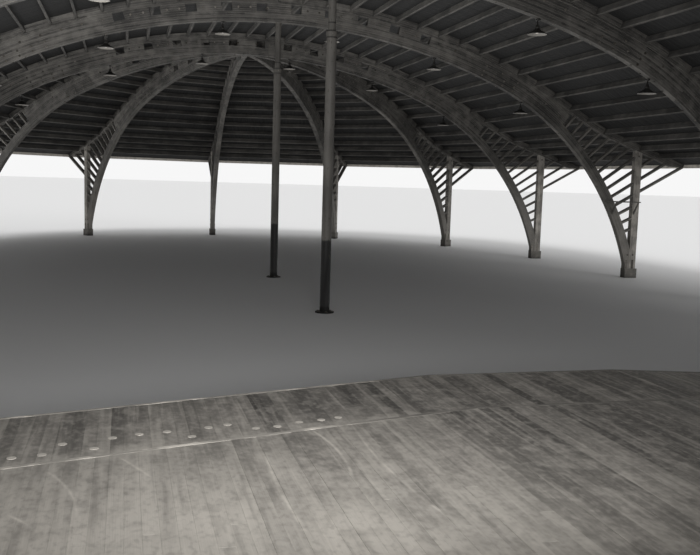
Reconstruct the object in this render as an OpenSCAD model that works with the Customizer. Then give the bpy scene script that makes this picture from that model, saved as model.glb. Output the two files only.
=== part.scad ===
// Open timber music pavilion: a hall of arched bays between two half-domes, with a stage in one of them.
// Millimetres, +Y along the hall away from the stage, +X to the right, ground at Z = 0, origin under the middle.

/* [Hall] */
// Spacing of the arches along the hall
bay = 5554; // [5000:2:5800]
// Height of the arch soffit at the crown
crown_z = 6000; // [5800:20:6200]
// Width of each timber arch, measured along the hall
arch_w = 160; // [140:5:200]

/* [Lower chord] */
// Radius of the soffit over the middle of the hall
arch_r = 14300; // [14000:50:14600]
// Radius of the soffit at the haunches and legs
haunch_r = 6900; // [6700:20:7100]
// Slope of the soffit where the two radii meet
haunch_turn = 22.85; // [21.5:0.05:24]
// Depth of the laminated lower chord
chord_d = 235; // [200:5:260]

/* [Upper chord] */
// Depth of the whole arch at the crown
crown_d = 620; // [600:5:660]
// Plumb depth of the upper chord and of the rafters that carry it on
rafter_d = 195; // [180:5:210]
// Slope at which the upper chord runs on straight
roof_turn = 30; // [29:0.25:31]
// Distance from the hall axis where the rafters flatten
kick_r = 8600; // [8400:20:8800]
// Slope of the rafter tails
tail_slope = 19.4; // [18:0.2:21]
// Overhang of the rafters past the posts
overhang = 1290; // [1200:10:1350]
// Height of the rafter ends
tail_end = 60; // [50:2:80]

/* [Web] */
// Number of openings through the web on each side of the crown
hole_n = 5; // [3:1:6]
// Width of each opening
hole_w = 250; // [180:5:300]
// Spacing of the openings
hole_pitch = 810; // [760:5:860]

/* [Legs] */
// Radial size of each post
post_d = 200; // [160:5:220]
// Height at which a leg closes on its post
leg_z = 770; // [700:10:850]
// Thickness of the slats between leg and rafter
slat_t = 50; // [38:1:60]
// Width of the slats across the arch
slat_w = 140; // [100:5:150]
// Number of slats between a leg and its rafter
slat_n = 14; // [12:1:15]
// Angle between neighbouring slats
slat_pitch = 2.05; // [2:0.01:2.1]
// Number of the slat above which the first one goes on past the post
brace_first = 3; // [2:1:4]
// Number of slats that go on past the post
brace_n = 3; // [2:1:4]
// Height of the plinth blocks
plinth_h = 250; // [150:10:350]
// Margin of the plinth blocks round what stands on them
plinth_m = 30; // [20:5:60]

/* [Roof] */
// Spacing of the purlins up the roof
purlin_pitch = 580; // [560:2:600]
// Thickness of the purlins
purlin_t = 50; // [38:2:60]
// Depth of the purlins, let into the arches
purlin_d = 140; // [120:5:150]
// Distance of the lowest purlin from the eave, at least
eave_clear = 500; // [450:10:600]
// Thickness of the roof boards with their covering
deck_t = 40; // [30:2:60]
// Thickness of the eave boards
fascia_t = 30; // [22:1:40]
// Depth of the eave boards
fascia_d = 135; // [110:5:160]

/* [Columns] */
// Diameter of the lower pipe of each column
pipe_d = 180; // [150:5:200]
// Wall of the pipes
pipe_wall = 8; // [5:1:12]
// Diameter of the upper pipe
neck_d = 135; // [110:5:145]
// Height of the joint between the two pipes
neck_z = 4950; // [4800:10:5200]
// Length of the collar between the two pipes
collar_l = 110; // [80:5:160]
// Diameter of the foot flange
flange_d = 340; // [300:10:400]
// Thickness of the flanges
flange_t = 20; // [12:1:30]

/* [Lamps] */
// Diameter of the lamp shades
shade_d = 360; // [300:10:440]
// Height of the lamp shades
shade_h = 110; // [90:5:130]
// Height of the lamp sockets over the shades
socket_h = 70; // [50:5:90]
// Wall of the lamp shades
shade_t = 4; // [3:1:6]
// Drop of the shade rims below the arches
lamp_drop = 280; // [260:5:500]
// Spacing of the middle lamps across the hall
lamp_pitch = 2600; // [2400:20:2700]
// Distance of the outer lamps from the hall axis
lamp_out = 6280; // [6000:20:6500]
// Diameter of the boxes that the lamps hang from
box_d = 90; // [70:5:120]

/* [Shelf] */
// Height of the shelf on one leg
shelf_z = 2050; // [1900:10:2200]
// Reach of the shelf past the inner face of its post
shelf_over = 100; // [60:10:150]
// Depth of the shelf
shelf_d = 240; // [180:10:300]
// Thickness of the shelf and width of its struts
shelf_t = 30; // [20:1:40]
// Drop of the struts below the shelf
strut_drop = 320; // [250:10:400]

/* [Stage] */
// Height of the stage floor
stage_h = 700; // [640:10:800]
// Distance of the stage front behind the last arch
stage_front = 2440; // [2400:10:2700]
// Width of the straight middle of the stage front
stage_mid = 1800; // [1600:50:2400]
// Slope in plan of the stage front beside its middle
stage_splay = 14.7; // [13:0.1:16]
// Depth of the apron in front of the seam
apron_d = 1100; // [1000:20:1300]
// Thickness of the floor boards
board_t = 35; // [28:1:45]
// Depth of the stage joists
joist_d = 190; // [160:5:210]
// Thickness of the stage joists
joist_t = 50; // [38:2:60]
// Spacing of the stage joists
joist_pitch = 600; // [500:10:700]
// Section of the bearers and dwarf posts
bearer_s = 140; // [120:5:160]
// Spacing of the bearers and of the dwarf posts along them
bearer_pitch = 2400; // [2000:50:2600]
// Thickness of the boards round the stage
skirt_t = 25; // [20:1:32]

/* [Hidden] */
$fn = 48;
fine = 720;
gap = 0.3;
board_gap = 1;
far = 60000;
arches = 4;
hall_l = (arches - 1) * bay;
half = hall_l / 2;
rib_step = 30;
rib_n = 5;
facet_half = rib_step / 2;
arch_wood = [0.3, 0.27, 0.24];
post_wood = [0.5, 0.47, 0.43];
roof_wood = [0.2, 0.18, 0.16];
eave_wood = [0.72, 0.7, 0.66];
floor_wood = [0.5, 0.46, 0.41];
concrete = [0.33, 0.32, 0.31];
steel = [0.45, 0.45, 0.44];
enamel = [0.75, 0.75, 0.72];

// Centres of the two soffit radii, in the plane of an arch
c1z = crown_z - arch_r;
c2r = (arch_r - haunch_r) * sin(haunch_turn);
c2z = c1z + (arch_r - haunch_r) * cos(haunch_turn);
back_r = haunch_r + chord_d;
post_in = c2r + sqrt(pow(back_r, 2) - pow(leg_z - c2z, 2));
post_out = post_in + post_d;
eave_r = post_out + overhang;
function soffit_r(z) = c2r + sqrt(pow(haunch_r, 2) - pow(z - c2z, 2));
function soffit_z(r) = c1z + sqrt(pow(arch_r, 2) - pow(r, 2));
function leg_soffit_z(r) = c2z + sqrt(pow(haunch_r, 2) - pow(r - c2r, 2));

// Underside of the roof: an arc over the middle, a straight slope and a flatter tail
top_r = arch_r + crown_d;
arc_len = top_r * roof_turn * PI / 180;
turn_r = top_r * sin(roof_turn);
turn_z = c1z + top_r * cos(roof_turn);
slope_len = (kick_r - turn_r) / cos(roof_turn);
kick_z = turn_z - (kick_r - turn_r) * tan(roof_turn);
tail_len = (eave_r - kick_r) / cos(tail_slope);
function roof_r(s) = s <= arc_len ? top_r * sin(s / top_r * 180 / PI)
    : s <= arc_len + slope_len ? turn_r + (s - arc_len) * cos(roof_turn)
    : kick_r + (s - arc_len - slope_len) * cos(tail_slope);
function roof_z(r) = r <= turn_r ? c1z + sqrt(pow(top_r, 2) - pow(r, 2))
    : r <= kick_r ? turn_z - (r - turn_r) * tan(roof_turn)
    : kick_z - (r - kick_r) * tan(tail_slope);

// The boards lie straight from purlin to purlin, so their underside is a line through the purlins
purlin_n = floor((arc_len + slope_len + tail_len - eave_clear) / purlin_pitch);
stations = [for (k = [0:purlin_n]) let (r = roof_r(k * purlin_pitch)) [r, roof_z(r)]];
roof_line = concat(stations, [[eave_r, roof_z(eave_r)]]);
facet_line = [for (p = roof_line) [p[0] * cos(facet_half), p[1]]];
deck_rise = deck_t / cos(tail_slope);
function top_at(r) = lookup(r, roof_line);
function slope_at(line, k) = k == 0 ? 0
    : atan((line[k - 1][1] - line[k + 1][1]) / (line[k + 1][0] - line[k - 1][0]));

// Level underside of the rafter ends, and where it starts
tail_z = top_at(eave_r) - tail_end;
tail_r = eave_r - (rafter_d - tail_end) / tan(tail_slope);

// Drop that keeps a square arch top clear of the two facets over a hip, and of a purlin below a bend
hip_drop = 2 * gap + arch_w / 2 * tan(facet_half) * tan(roof_turn + purlin_pitch / top_r * 90 / PI);
purlin_seat = gap + purlin_t / 2 * tan(purlin_pitch / top_r * 90 / PI);

// The first slat that goes on past the post ends under the end of its rafter
slat_low = atan((tail_z - c2z) / (eave_r - c2r)) - brace_first * slat_pitch;

// Web between the chords, ending half a space above the highest slat
web_end = slat_low + (slat_n - 0.5) * slat_pitch;
web_r = (turn_z - rafter_d / 2 + turn_r * tan(roof_turn) - c2z + c2r * tan(web_end))
    / (tan(web_end) + tan(roof_turn));
web_z = c2z + (web_r - c2r) * tan(web_end);

function lowered(line, drop) = [for (p = line) [p[0], p[1] - drop]];
function flipped(line) = [for (i = [len(line) - 1:-1:0]) line[i]];

// A line that starts on the axis, joined to its mirror image, left to right
function both_ways(line) = concat([for (i = [len(line) - 1:-1:1]) [-line[i][0], line[i][1]]], line);

// Lines of the upper chord, from the crown outwards
under_line = concat(
    [for (p = lowered(roof_line, rafter_d)) if (p[0] < tail_r) p],
    [[tail_r, tail_z], [eave_r - gap, tail_z]]
);
web_top = concat([for (p = lowered(roof_line, rafter_d / 2)) if (p[0] < web_r) p], [[web_r, web_z]]);
web_low = [c2r + 0.97 * back_r * cos(web_end), c2z + 0.97 * back_r * sin(web_end)];
function top_line(drop) = lowered(concat(stations, [[eave_r - gap, top_at(eave_r - gap)]]), drop);

// Sets a shape drawn as [distance from the axis, height] upright in the plane of an arch
module upright(w) {
    translate([0, w / 2, 0]) rotate([90, 0, 0]) linear_extrude(height = w) children();
}

// Curved bar about a centre in the plane of an arch, from one angle above the level to another
module curved_bar(cr, cz, r, from, to) {
    translate([cr, 0, cz]) rotate([90, -from, 0])
        rotate_extrude(angle = to - from, $fn = fine) translate([r, -arch_w / 2]) square([chord_d, arch_w]);
}

module disc(cr, cz, r) {
    translate([cr, 0, cz]) rotate([90, 0, 0]) cylinder(r = r, h = 2 * arch_w, center = true, $fn = fine);
}

// Wedge over the middle of an arch, from the first centre out to the haunches
module middle_wedge() {
    reach = top_r / cos(haunch_turn);
    upright(2 * arch_w) polygon([
        [0, c1z],
        [reach * sin(haunch_turn), c1z + reach * cos(haunch_turn)],
        [-reach * sin(haunch_turn), c1z + reach * cos(haunch_turn)]
    ]);
}

module at_arch(i) {
    translate([0, -half + (i - 1) * bay, 0]) children();
}
module each_arch() {
    for (i = [1:arches]) at_arch(i) children();
}
module other_side() {
    mirror([1, 0, 0]) children();
}

// Places pieces round the far half-dome, or turned round to the one over the stage
module at_end(end) {
    rotate([0, 0, end == "front" ? 180 : 0]) translate([0, half, 0]) children();
}
module each_rib() {
    for (k = [1:rib_n]) rotate([0, 0, k * rib_step]) children();
}
module each_facet() {
    for (k = [0:rib_n]) rotate([0, 0, k * rib_step + facet_half]) children();
}

// Sector in plan that one rib or facet fills, kept a set distance inside its own sides
module sector(inset) {
    start = inset / sin(facet_half);
    reach = 2 * eave_r;
    side = (reach - start) * tan(facet_half);
    translate([0, 0, -far / 4]) linear_extrude(height = far / 2)
        polygon([[start, 0], [reach, -side], [reach, side]]);
}

// Everything on the hall side of the outer face of the last arch, seen from the hub of a half-dome
module hall_side() {
    translate([-far / 2, -far + arch_w / 2 + gap, -far / 4]) cube([far, far, far / 2]);
}

// What a leg leaves out at its plinth and behind its post
module leg_trim() {
    translate([-far / 2, -arch_w, -far]) cube([far, 2 * arch_w, far + plinth_h + gap]);
    translate([post_in - gap, -arch_w, -far]) cube([far, 2 * arch_w, far + leg_z + chord_d]);
}

module leg_chord() {
    foot = asin((plinth_h - c2z) / back_r) - 2;
    difference() {
        curved_bar(c2r, c2z, haunch_r, foot, 90 - haunch_turn);
        leg_trim();
    }
}

// Half of the lower chord, from a distance beside the crown down to its plinth, spliced at the haunch
module half_chord(start) {
    splice = gap / arch_r * 180 / PI;
    curved_bar(0, c1z, arch_r, 90 - haunch_turn + splice, 90 - asin(start / arch_r));
    leg_chord();
}

module lower_chord() {
    color(arch_wood) {
        half_chord(0);
        other_side() half_chord(0);
    }
}

// All that lies inside the back of the lower chord, on the right and over the middle
module chord_back() {
    intersection() {
        disc(0, c1z, arch_r + chord_d + gap);
        middle_wedge();
    }
    disc(c2r, c2z, back_r + gap);
}

module web_holes(side) {
    hole_angle = hole_pitch / (arch_r + chord_d) * 180 / PI;
    hole_h = crown_d - chord_d - rafter_d;
    for (i = [0:hole_n - 1])
        translate([0, 0, c1z]) rotate([0, side * (i + 0.5) * hole_angle, 0])
            translate([-hole_w / 2, -arch_w, arch_r + chord_d - hole_h / 2])
                cube([hole_w, 2 * arch_w, 1.5 * hole_h]);
}

module purlin(line, k, length) {
    translate([line[k][0], -length / 2, line[k][1] - purlin_seat]) rotate([0, slope_at(line, k), 0])
        translate([-purlin_t / 2, 0, -purlin_d]) cube([purlin_t, length, purlin_d]);
}

module purlin_notches() {
    for (k = [0:purlin_n])
        translate([roof_line[k][0], -arch_w, roof_line[k][1] - purlin_seat])
            rotate([0, slope_at(roof_line, k), 0])
                translate([-purlin_t / 2 - gap, 0, -purlin_d - gap])
                    cube([purlin_t + 2 * gap, 2 * arch_w, 2 * purlin_d]);
}

module upper_chord(drop) {
    color(arch_wood) difference() {
        union() {
            upright(arch_w) polygon(concat(both_ways(top_line(drop)), flipped(both_ways(under_line))));
            upright(arch_w) polygon(concat(both_ways(web_top), [web_low, [-web_low[0], web_low[1]]]));
        }
        chord_back();
        other_side() disc(c2r, c2z, back_r + gap);
        web_holes(1);
        web_holes(-1);
        purlin_notches();
        other_side() purlin_notches();
    }
}

module rib_top() {
    difference() {
        union() {
            upright(arch_w) polygon(concat(top_line(hip_drop), flipped(under_line)));
            upright(arch_w) polygon(concat(web_top, [web_low, [0, web_low[1]]]));
        }
        chord_back();
        web_holes(1);
    }
}

// Slats stand square on the back of the leg and end at the post or under the rafter
module slat_bar(i) {
    translate([c2r, 0, c2z]) rotate([0, -slat_low - i * slat_pitch, 0])
        translate([back_r + gap, -slat_w / 2, -slat_t / 2]) cube([eave_r, slat_w, slat_t]);
}

// Space between leg, post and rafter, and the one outside the post
module inner_bay() {
    ceiling = lowered(roof_line, rafter_d + gap);
    upright(arch_w) polygon(concat(
        [[web_low[0], 0], [post_in - gap, 0], [post_in - gap, lookup(post_in, ceiling)]],
        flipped([for (p = ceiling) if (p[0] > web_low[0] && p[0] < post_in - gap) p]),
        [[web_low[0], lookup(web_low[0], ceiling)]]
    ));
}
module outer_bay() {
    upright(arch_w) polygon([
        [post_out + gap, 0],
        [eave_r, 0],
        [eave_r, tail_z - gap],
        [tail_r, tail_z - gap],
        [post_out + gap, top_at(post_out) - rafter_d - gap]
    ]);
}
module leg_slats() {
    for (i = [0:slat_n - 1]) intersection() {
        slat_bar(i);
        inner_bay();
    }
    for (i = [brace_first:brace_first + brace_n - 1]) intersection() {
        slat_bar(i);
        outer_bay();
    }
}
module hall_slats() {
    color(post_wood) each_arch() leg_slats();
}
module end_slats(end) {
    color(post_wood) at_end(end) each_rib() leg_slats();
}

module leg_post() {
    upright(arch_w) polygon([
        [post_in, plinth_h + gap],
        [post_out, plinth_h + gap],
        [post_out, top_at(post_out) - rafter_d - gap],
        [post_in, top_at(post_in) - rafter_d - gap]
    ]);
}
module hall_posts() {
    color(post_wood) each_arch() leg_post();
}
module end_posts(end) {
    color(post_wood) at_end(end) each_rib() leg_post();
}

module plinth() {
    inner = soffit_r(plinth_h) - plinth_m;
    width = arch_w + 2 * plinth_m;
    translate([inner, -width / 2, 0]) cube([post_out + plinth_m - inner, width, plinth_h]);
}
module hall_plinths() {
    color(concrete) each_arch() {
        plinth();
        other_side() plinth();
    }
}
module end_plinths(end) {
    color(concrete) at_end(end) each_rib() plinth();
}

module end_ribs(end) {
    color(arch_wood) at_end(end) difference() {
        each_rib() intersection() {
            half_chord(arch_w / 2 + gap);
            sector(gap / 2);
        }
        hall_side();
    }
}
module end_rib_tops(end) {
    color(arch_wood) at_end(end) difference() {
        each_rib() intersection() {
            rib_top();
            sector(gap / 2);
        }
        hall_side();
    }
}

module ridge_purlin() {
    color(roof_wood) purlin(roof_line, 0, hall_l + arch_w);
}
module hall_purlins() {
    color(roof_wood) for (k = [1:purlin_n]) purlin(roof_line, k, hall_l + arch_w);
}
module end_purlins(end) {
    color(roof_wood) at_end(end) each_facet() for (k = [1:purlin_n]) intersection() {
        purlin(facet_line, k, 2 * eave_r);
        sector(arch_w / 2 + gap);
    }
}

// Strip of roof boards over a line, square to the arches
module board_strip(line, length) {
    translate([0, length / 2, 0]) rotate([90, 0, 0]) linear_extrude(height = length)
        polygon(concat(lowered(line, -deck_rise), flipped(line)));
}
module roof_side() {
    color(roof_wood) intersection() {
        board_strip(roof_line, hall_l - board_gap);
        translate([board_gap / 2, -far / 2, 0]) cube(far);
    }
}
module end_roof(end) {
    color(roof_wood) at_end(end) each_facet() intersection() {
        board_strip(facet_line, 2 * eave_r);
        sector(board_gap / 2);
    }
}

module fascia_board(reach, length) {
    top_z = roof_z(eave_r) + deck_rise;
    translate([reach + gap, -length / 2, top_z - fascia_d]) cube([fascia_t, length, fascia_d]);
}
module hall_fascia() {
    color(eave_wood) fascia_board(eave_r, hall_l - board_gap);
}
module end_fascia(end) {
    color(eave_wood) at_end(end) each_facet() intersection() {
        fascia_board(eave_r * cos(facet_half), 2 * eave_r);
        sector(board_gap / 2);
    }
}

module column() {
    top = crown_z - gap;
    color(steel) difference() {
        union() {
            cylinder(d = flange_d, h = flange_t);
            cylinder(d = pipe_d, h = neck_z);
            translate([0, 0, neck_z - collar_l]) cylinder(d = pipe_d + 2 * pipe_wall, h = collar_l);
            cylinder(d = neck_d, h = top);
            translate([0, 0, top - flange_t]) cylinder(d = arch_w, h = flange_t);
        }
        translate([0, 0, -flange_t]) cylinder(d = pipe_d - 2 * pipe_wall, h = neck_z);
        cylinder(d = neck_d - 2 * pipe_wall, h = top - flange_t);
    }
}

// Pendant lamp: a bell-shaped shade under a socket, on a stem from a round box, all below a given height
module lamp(hang_z) {
    stem_d = 22;
    socket_d = 80;
    waist_d = 190;
    waist_h = shade_h / 2;
    box_h = 35;
    rim_z = hang_z - lamp_drop;
    difference() {
        union() {
            round_bar(rim_z, waist_h, shade_d, waist_d);
            round_bar(rim_z + waist_h, shade_h - waist_h, waist_d, socket_d);
        }
        round_bar(rim_z - shade_t, waist_h, shade_d, waist_d);
        round_bar(rim_z + waist_h - shade_t, shade_h - waist_h, waist_d, socket_d);
    }
    round_bar(rim_z + shade_h - shade_t, socket_h + shade_t, socket_d, socket_d);
    round_bar(rim_z + shade_h, lamp_drop - shade_h - gap, stem_d, stem_d);
    round_bar(hang_z - gap - box_h, box_h, box_d, box_d);
}
module round_bar(z, h, low_d, high_d) {
    translate([0, 0, z]) cylinder(h = h, d1 = low_d, d2 = high_d);
}
module lamps() {
    color(enamel) for (i = [1:arches], r = [lamp_pitch / 2, 1.5 * lamp_pitch, lamp_out], side = [-1, 1])
        at_arch(i) translate([side * r, 0, 0])
            lamp(r < lamp_out ? soffit_z(r + box_d / 2) : leg_soffit_z(r + box_d / 2));
}

// Shelf on the leg of the third arch, on the side of the stage, on two slanting struts
module leg_shelf() {
    inner = soffit_r(shelf_z);
    under = shelf_z - shelf_t;
    reach = shelf_d - shelf_t;
    color(post_wood) translate([0, -arch_w / 2 - gap, 0]) {
        translate([inner, -shelf_d, under]) cube([post_in + shelf_over - inner, shelf_d, shelf_t]);
        for (x = [soffit_r(under - strut_drop) + shelf_t, post_in + shelf_t])
            translate([x, 0, under]) rotate([90, 0, 90]) linear_extrude(height = shelf_t)
                polygon([[0, -strut_drop], [-reach, 0], [shelf_t - reach, 0], [0, 2 * shelf_t - strut_drop]]);
    }
}

// Outline of the stage in plan, seen from the hub, kept a set distance inside its edge
stage_r = soffit_r(stage_h) - gap;
function stage_side(ring, front) =
    let (
        back = ring * (1 - cos(rib_step)),
        t = (front + (ring - stage_mid / 2) * tan(stage_splay)) / (ring * sin(rib_step) + back * tan(stage_splay))
    )
    concat(
        [[stage_mid / 2, front], [ring - t * back, t * ring * sin(rib_step)]],
        [for (k = [1:2]) [ring * cos(k * rib_step), ring * sin(k * rib_step)]]
    );
function stage_outline(inset) =
    let (ring = stage_r - inset / cos(facet_half), side = stage_side(ring, stage_front + inset))
    concat(side, [[0, ring]], flipped([for (p = side) [-p[0], p[1]]]));

module stage_plate(inset, z, h) {
    translate([0, 0, z]) linear_extrude(height = h) polygon(stage_outline(inset));
}

// Everything in front of a seam that follows the stage front
module apron_zone(extra) {
    mid = stage_mid / 2;
    seam = stage_front + apron_d + extra;
    drop = (stage_r - mid) * tan(stage_splay);
    translate([0, 0, -far / 4]) linear_extrude(height = far / 2) polygon([
        [-stage_r, 0], [stage_r, 0], [stage_r, seam + drop],
        [mid, seam], [-mid, seam], [-stage_r, seam + drop]
    ]);
}
module stage_floor() {
    color(floor_wood) at_end("front") difference() {
        stage_plate(0, stage_h - board_t, board_t);
        apron_zone(gap);
    }
}
module stage_apron() {
    color(floor_wood) at_end("front") intersection() {
        stage_plate(0, stage_h - board_t, board_t);
        apron_zone(0);
    }
}

joist_z = stage_h - board_t - gap - joist_d;
module stage_joists() {
    first = ceil(stage_front / joist_pitch);
    last = floor((stage_r - 2 * skirt_t) / joist_pitch);
    color(post_wood) at_end("front") for (i = [first:last]) intersection() {
        stage_plate(skirt_t + 2 * gap, joist_z, joist_d);
        translate([-far / 2, i * joist_pitch, 0]) cube([far, joist_t, far]);
    }
}

// Bearers run square to the joists on dwarf posts
module stage_bearers() {
    bearer_z = joist_z - gap - bearer_s;
    ring = stage_r * cos(facet_half) - 2 * bearer_s;
    n = floor(ring / bearer_pitch);
    color(post_wood) at_end("front") for (i = [-n:n]) {
        x = i * bearer_pitch;
        start = stage_front + 2 * bearer_s + max(0, abs(x) - stage_mid / 2) * tan(stage_splay);
        end = sqrt(pow(ring, 2) - pow(abs(x) + bearer_s / 2, 2));
        translate([x - bearer_s / 2, start, 0]) {
            translate([0, 0, bearer_z]) cube([bearer_s, end - start, bearer_s]);
            for (j = [0:floor((end - start - bearer_s) / bearer_pitch)])
                translate([0, j * bearer_pitch, 0]) cube([bearer_s, bearer_s, bearer_z + bearer_s / 2]);
        }
    }
}

module stage_skirt() {
    outer = stage_outline(0);
    color(post_wood) at_end("front") for (i = [0:len(outer) - 1]) {
        p = outer[i];
        side = outer[(i + 1) % len(outer)] - p;
        end = skirt_t + board_gap;
        translate([p[0], p[1], 0]) rotate([0, 0, atan2(side[1], side[0])]) translate([end, 0, 0])
            cube([norm(side) - 2 * end, skirt_t, stage_h - board_t - gap]);
    }
}

at_arch(1) lower_chord();  // arch_1
at_arch(2) lower_chord();  // arch_2
at_arch(3) lower_chord();  // arch_3
at_arch(4) lower_chord();  // arch_4
at_arch(1) upper_chord(hip_drop);  // arch_top_1
at_arch(2) upper_chord(gap);  // arch_top_2
at_arch(3) upper_chord(gap);  // arch_top_3
at_arch(4) upper_chord(hip_drop);  // arch_top_4
other_side() hall_slats();  // slats_left
hall_slats();  // slats_right
other_side() hall_posts();  // posts_left
hall_posts();  // posts_right
end_posts("front");  // posts_front
end_posts("back");  // posts_back
end_ribs("front");  // ribs_front
end_ribs("back");  // ribs_back
end_rib_tops("front");  // rib_tops_front
end_rib_tops("back");  // rib_tops_back
end_slats("front");  // rib_slats_front
end_slats("back");  // rib_slats_back
hall_plinths();  // plinths_hall
end_plinths("front");  // plinths_front
end_plinths("back");  // plinths_back
ridge_purlin();
other_side() hall_purlins();  // purlins_left
hall_purlins();  // purlins_right
end_purlins("front");  // purlins_front
end_purlins("back");  // purlins_back
other_side() roof_side();  // roof_left
roof_side();  // roof_right
end_roof("front");  // roof_front
end_roof("back");  // roof_back
other_side() hall_fascia();  // fascia_left
hall_fascia();  // fascia_right
end_fascia("front");  // fascia_front
end_fascia("back");  // fascia_back
at_arch(2) column();  // column_1
at_arch(3) column();  // column_2
lamps();
at_arch(3) leg_shelf();
stage_floor();
stage_apron();
stage_skirt();
stage_joists();
stage_bearers();
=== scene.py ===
"""Looks of the bandstand: an open timber hall of arches between two ribbed half-domes, with a stage.

Metres, in the CAD part's frame: +Y along the hall away from the stage, +X to the right, ground at Z = 0.
A leg is built in its own plane: X outwards from the axis of the hall or the hub, Y across the arch, Z up.
"""

import math
import random

import bmesh
import bpy
from mathutils import Matrix, Vector


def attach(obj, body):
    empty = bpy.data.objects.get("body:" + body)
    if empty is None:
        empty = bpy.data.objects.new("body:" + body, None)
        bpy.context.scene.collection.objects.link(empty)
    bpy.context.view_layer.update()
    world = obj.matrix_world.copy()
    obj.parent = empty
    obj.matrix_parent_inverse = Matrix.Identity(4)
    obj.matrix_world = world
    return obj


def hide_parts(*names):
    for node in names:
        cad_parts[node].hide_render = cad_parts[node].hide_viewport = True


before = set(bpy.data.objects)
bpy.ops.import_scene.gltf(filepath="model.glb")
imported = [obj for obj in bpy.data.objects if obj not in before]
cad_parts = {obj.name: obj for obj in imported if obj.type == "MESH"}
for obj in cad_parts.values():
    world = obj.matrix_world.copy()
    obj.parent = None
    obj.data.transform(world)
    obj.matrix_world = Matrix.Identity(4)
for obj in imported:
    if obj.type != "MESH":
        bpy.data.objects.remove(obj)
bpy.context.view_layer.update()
rng = random.Random(1938)

# Sizes that the CAD part is driven by
BAY = 5.554
ARCHES = 4
CROWN_Z = 6.0
ARCH_W = 0.16
ARCH_R = 14.3
HAUNCH_R = 6.9
HAUNCH_TURN = 22.85
CHORD_D = 0.235
CROWN_D = 0.62
RAFTER_D = 0.195
ROOF_TURN = 30
KICK_R = 8.6
TAIL_SLOPE = 19.4
OVERHANG = 1.29
TAIL_END = 0.06
HOLES = 5
HOLE_W = 0.25
HOLE_PITCH = 0.81
POST_D = 0.2
LEG_Z = 0.77
SLATS = 14
SLAT_T = 0.05
SLAT_W = 0.14
SLAT_PITCH = 2.05
BRACE_FIRST = 3
BRACES = 3
PLINTH_H = 0.25
PURLIN_PITCH = 0.58
PURLIN_T = 0.05
PURLIN_D = 0.14
EAVE_CLEAR = 0.5
DECK_T = 0.04
FASCIA_T = 0.03
FASCIA_D = 0.135
RIB_STEP = 30
RIBS = 5
LAMP_R = (1.3, 3.9, 6.28)
LAMP_DROP = 0.28
SHADE_D = 0.36
SHADE_H = 0.11
SOCKET_D = 0.08
SOCKET_H = 0.07
BOX_D = 0.09
SHELF_Z = 2.05
SHELF_OVER = 0.1
SHELF_D = 0.24
SHELF_T = 0.03
STRUT_DROP = 0.32
STAGE_H = 0.7
STAGE_FRONT = 2.44
STAGE_MID = 1.8
STAGE_SPLAY = 14.7
APRON_D = 1.1
FLOOR_T = 0.035
SKIRT_T = 0.025
GAP = 0.0003

# Boards of the arches and legs
PLY = 0.047
PLY_GAP = 0.001
PLY_CORNER = 0.002
PLY_BOARDS = (3.0, 5.4)
TOP_BOARDS = (3.0, 4.8)
CORNER = 0.004
POST_CORNER = 0.006
BEND_STEP = 0.25
WEB_PLIES = 4
WEB_STEP = 0.02
THIN = 0.004
SHORT = 0.1
NEAR = 0.01
JOINT = 0.002
NOTCH = 0.008
UNEVEN = 0.006
END_SHADE = 0.35
END_SCALE = 0.3

# Bolts, straps and the shelf
BOLT_PITCH = 0.3
BOLT_ROW = 0.045
BOLT_EDGE = 0.06
BOLTS_FROM = 0.35
BOLTS_END = 1.0
FOOT_BOLTS = [(-0.08, 0.42), (-0.06, 0.62), (0.1, 0.42), (0.1, 0.62)]
HAUNCH_BOLTS = (-0.45, -0.15, 0.15, 0.45)
WEB_BOLT_PITCH = 0.45
WEB_BOLT_SHARE = 0.45
SOFFIT_HEAD = 0.026
FACE_HEAD = 0.03
FOOT_HEAD = 0.032
SCREW_HEAD = 0.018
STRAPS_X = (0.1, -0.09)
STRAP_L = 0.24
STRAP_W = 0.06
STRAP_T = 0.006
SHELF_STEP = 0.01

# Boards and shingles of the roof
BOARD_W = 0.15
BOARD_T = 0.022
DECK_GAP = 0.003
DECK_SPANS = (5, 8)
EDGE_GAP = 0.0005
EDGE_CORNER = 0.003
PURLIN_CORNER = 0.005
PURLIN_CLEAR = 0.001
SHINGLE_PITCH = 0.16
SHINGLE_LAP = 0.02
SHINGLE_BUTT = 0.019
SHINGLE_HEAD = 0.007
SHINGLE_W = (0.12, 0.28)
SHINGLE_GAP = 0.003
SHINGLE_LEAST = 0.004
SHINGLE_UNEVEN = 0.003
RIDGE_CLEAR = 0.15
RIDGE_BOARD = 0.15
RIDGE_BOARDS = (2.4, 3.6)
RIDGE_GAP = 0.002
HUB_CAP = 0.6
HUB_RIM = 0.01
HUB_CLEAR = 0.004
HUB_TOP = [(0.12, 0.008), (0.1, 0.001), (0.02, 0.0005)]
HIP_CAP = 0.11
HIP_BUTT = 0.012
HIP_HEAD = 0.009
HIP_CLEAR = 0.001

# Columns and lamps
PIPE_D = 0.18
NECK_Z = 4.95
COLLAR_EDGES = (4.84, 4.95, 5.09)
COLLAR_T = 0.007
SCREW_DROP = 0.05
FOOT_PAINT = 1.3
FLANGE_T = 0.02
FLANGE_BOLTS = 0.135
SHADE_T = 0.004
SHADE_SKIN = [(0.5, 0), (0.497, 0.06), (0.46, 0.2), (0.37, 0.38), (0.27, 0.54), (0.18, 0.74), (0.125, 1)]
BULB = [(0.004, 0.018), (0.02, 0.022), (0.031, 0.036), (0.033, 0.05), (0.026, 0.07), (0.017, 0.1)]
STEM_R = 0.011
BLOCK_EDGE = 0.012
MEMBER_EDGE = 0.003

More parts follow.
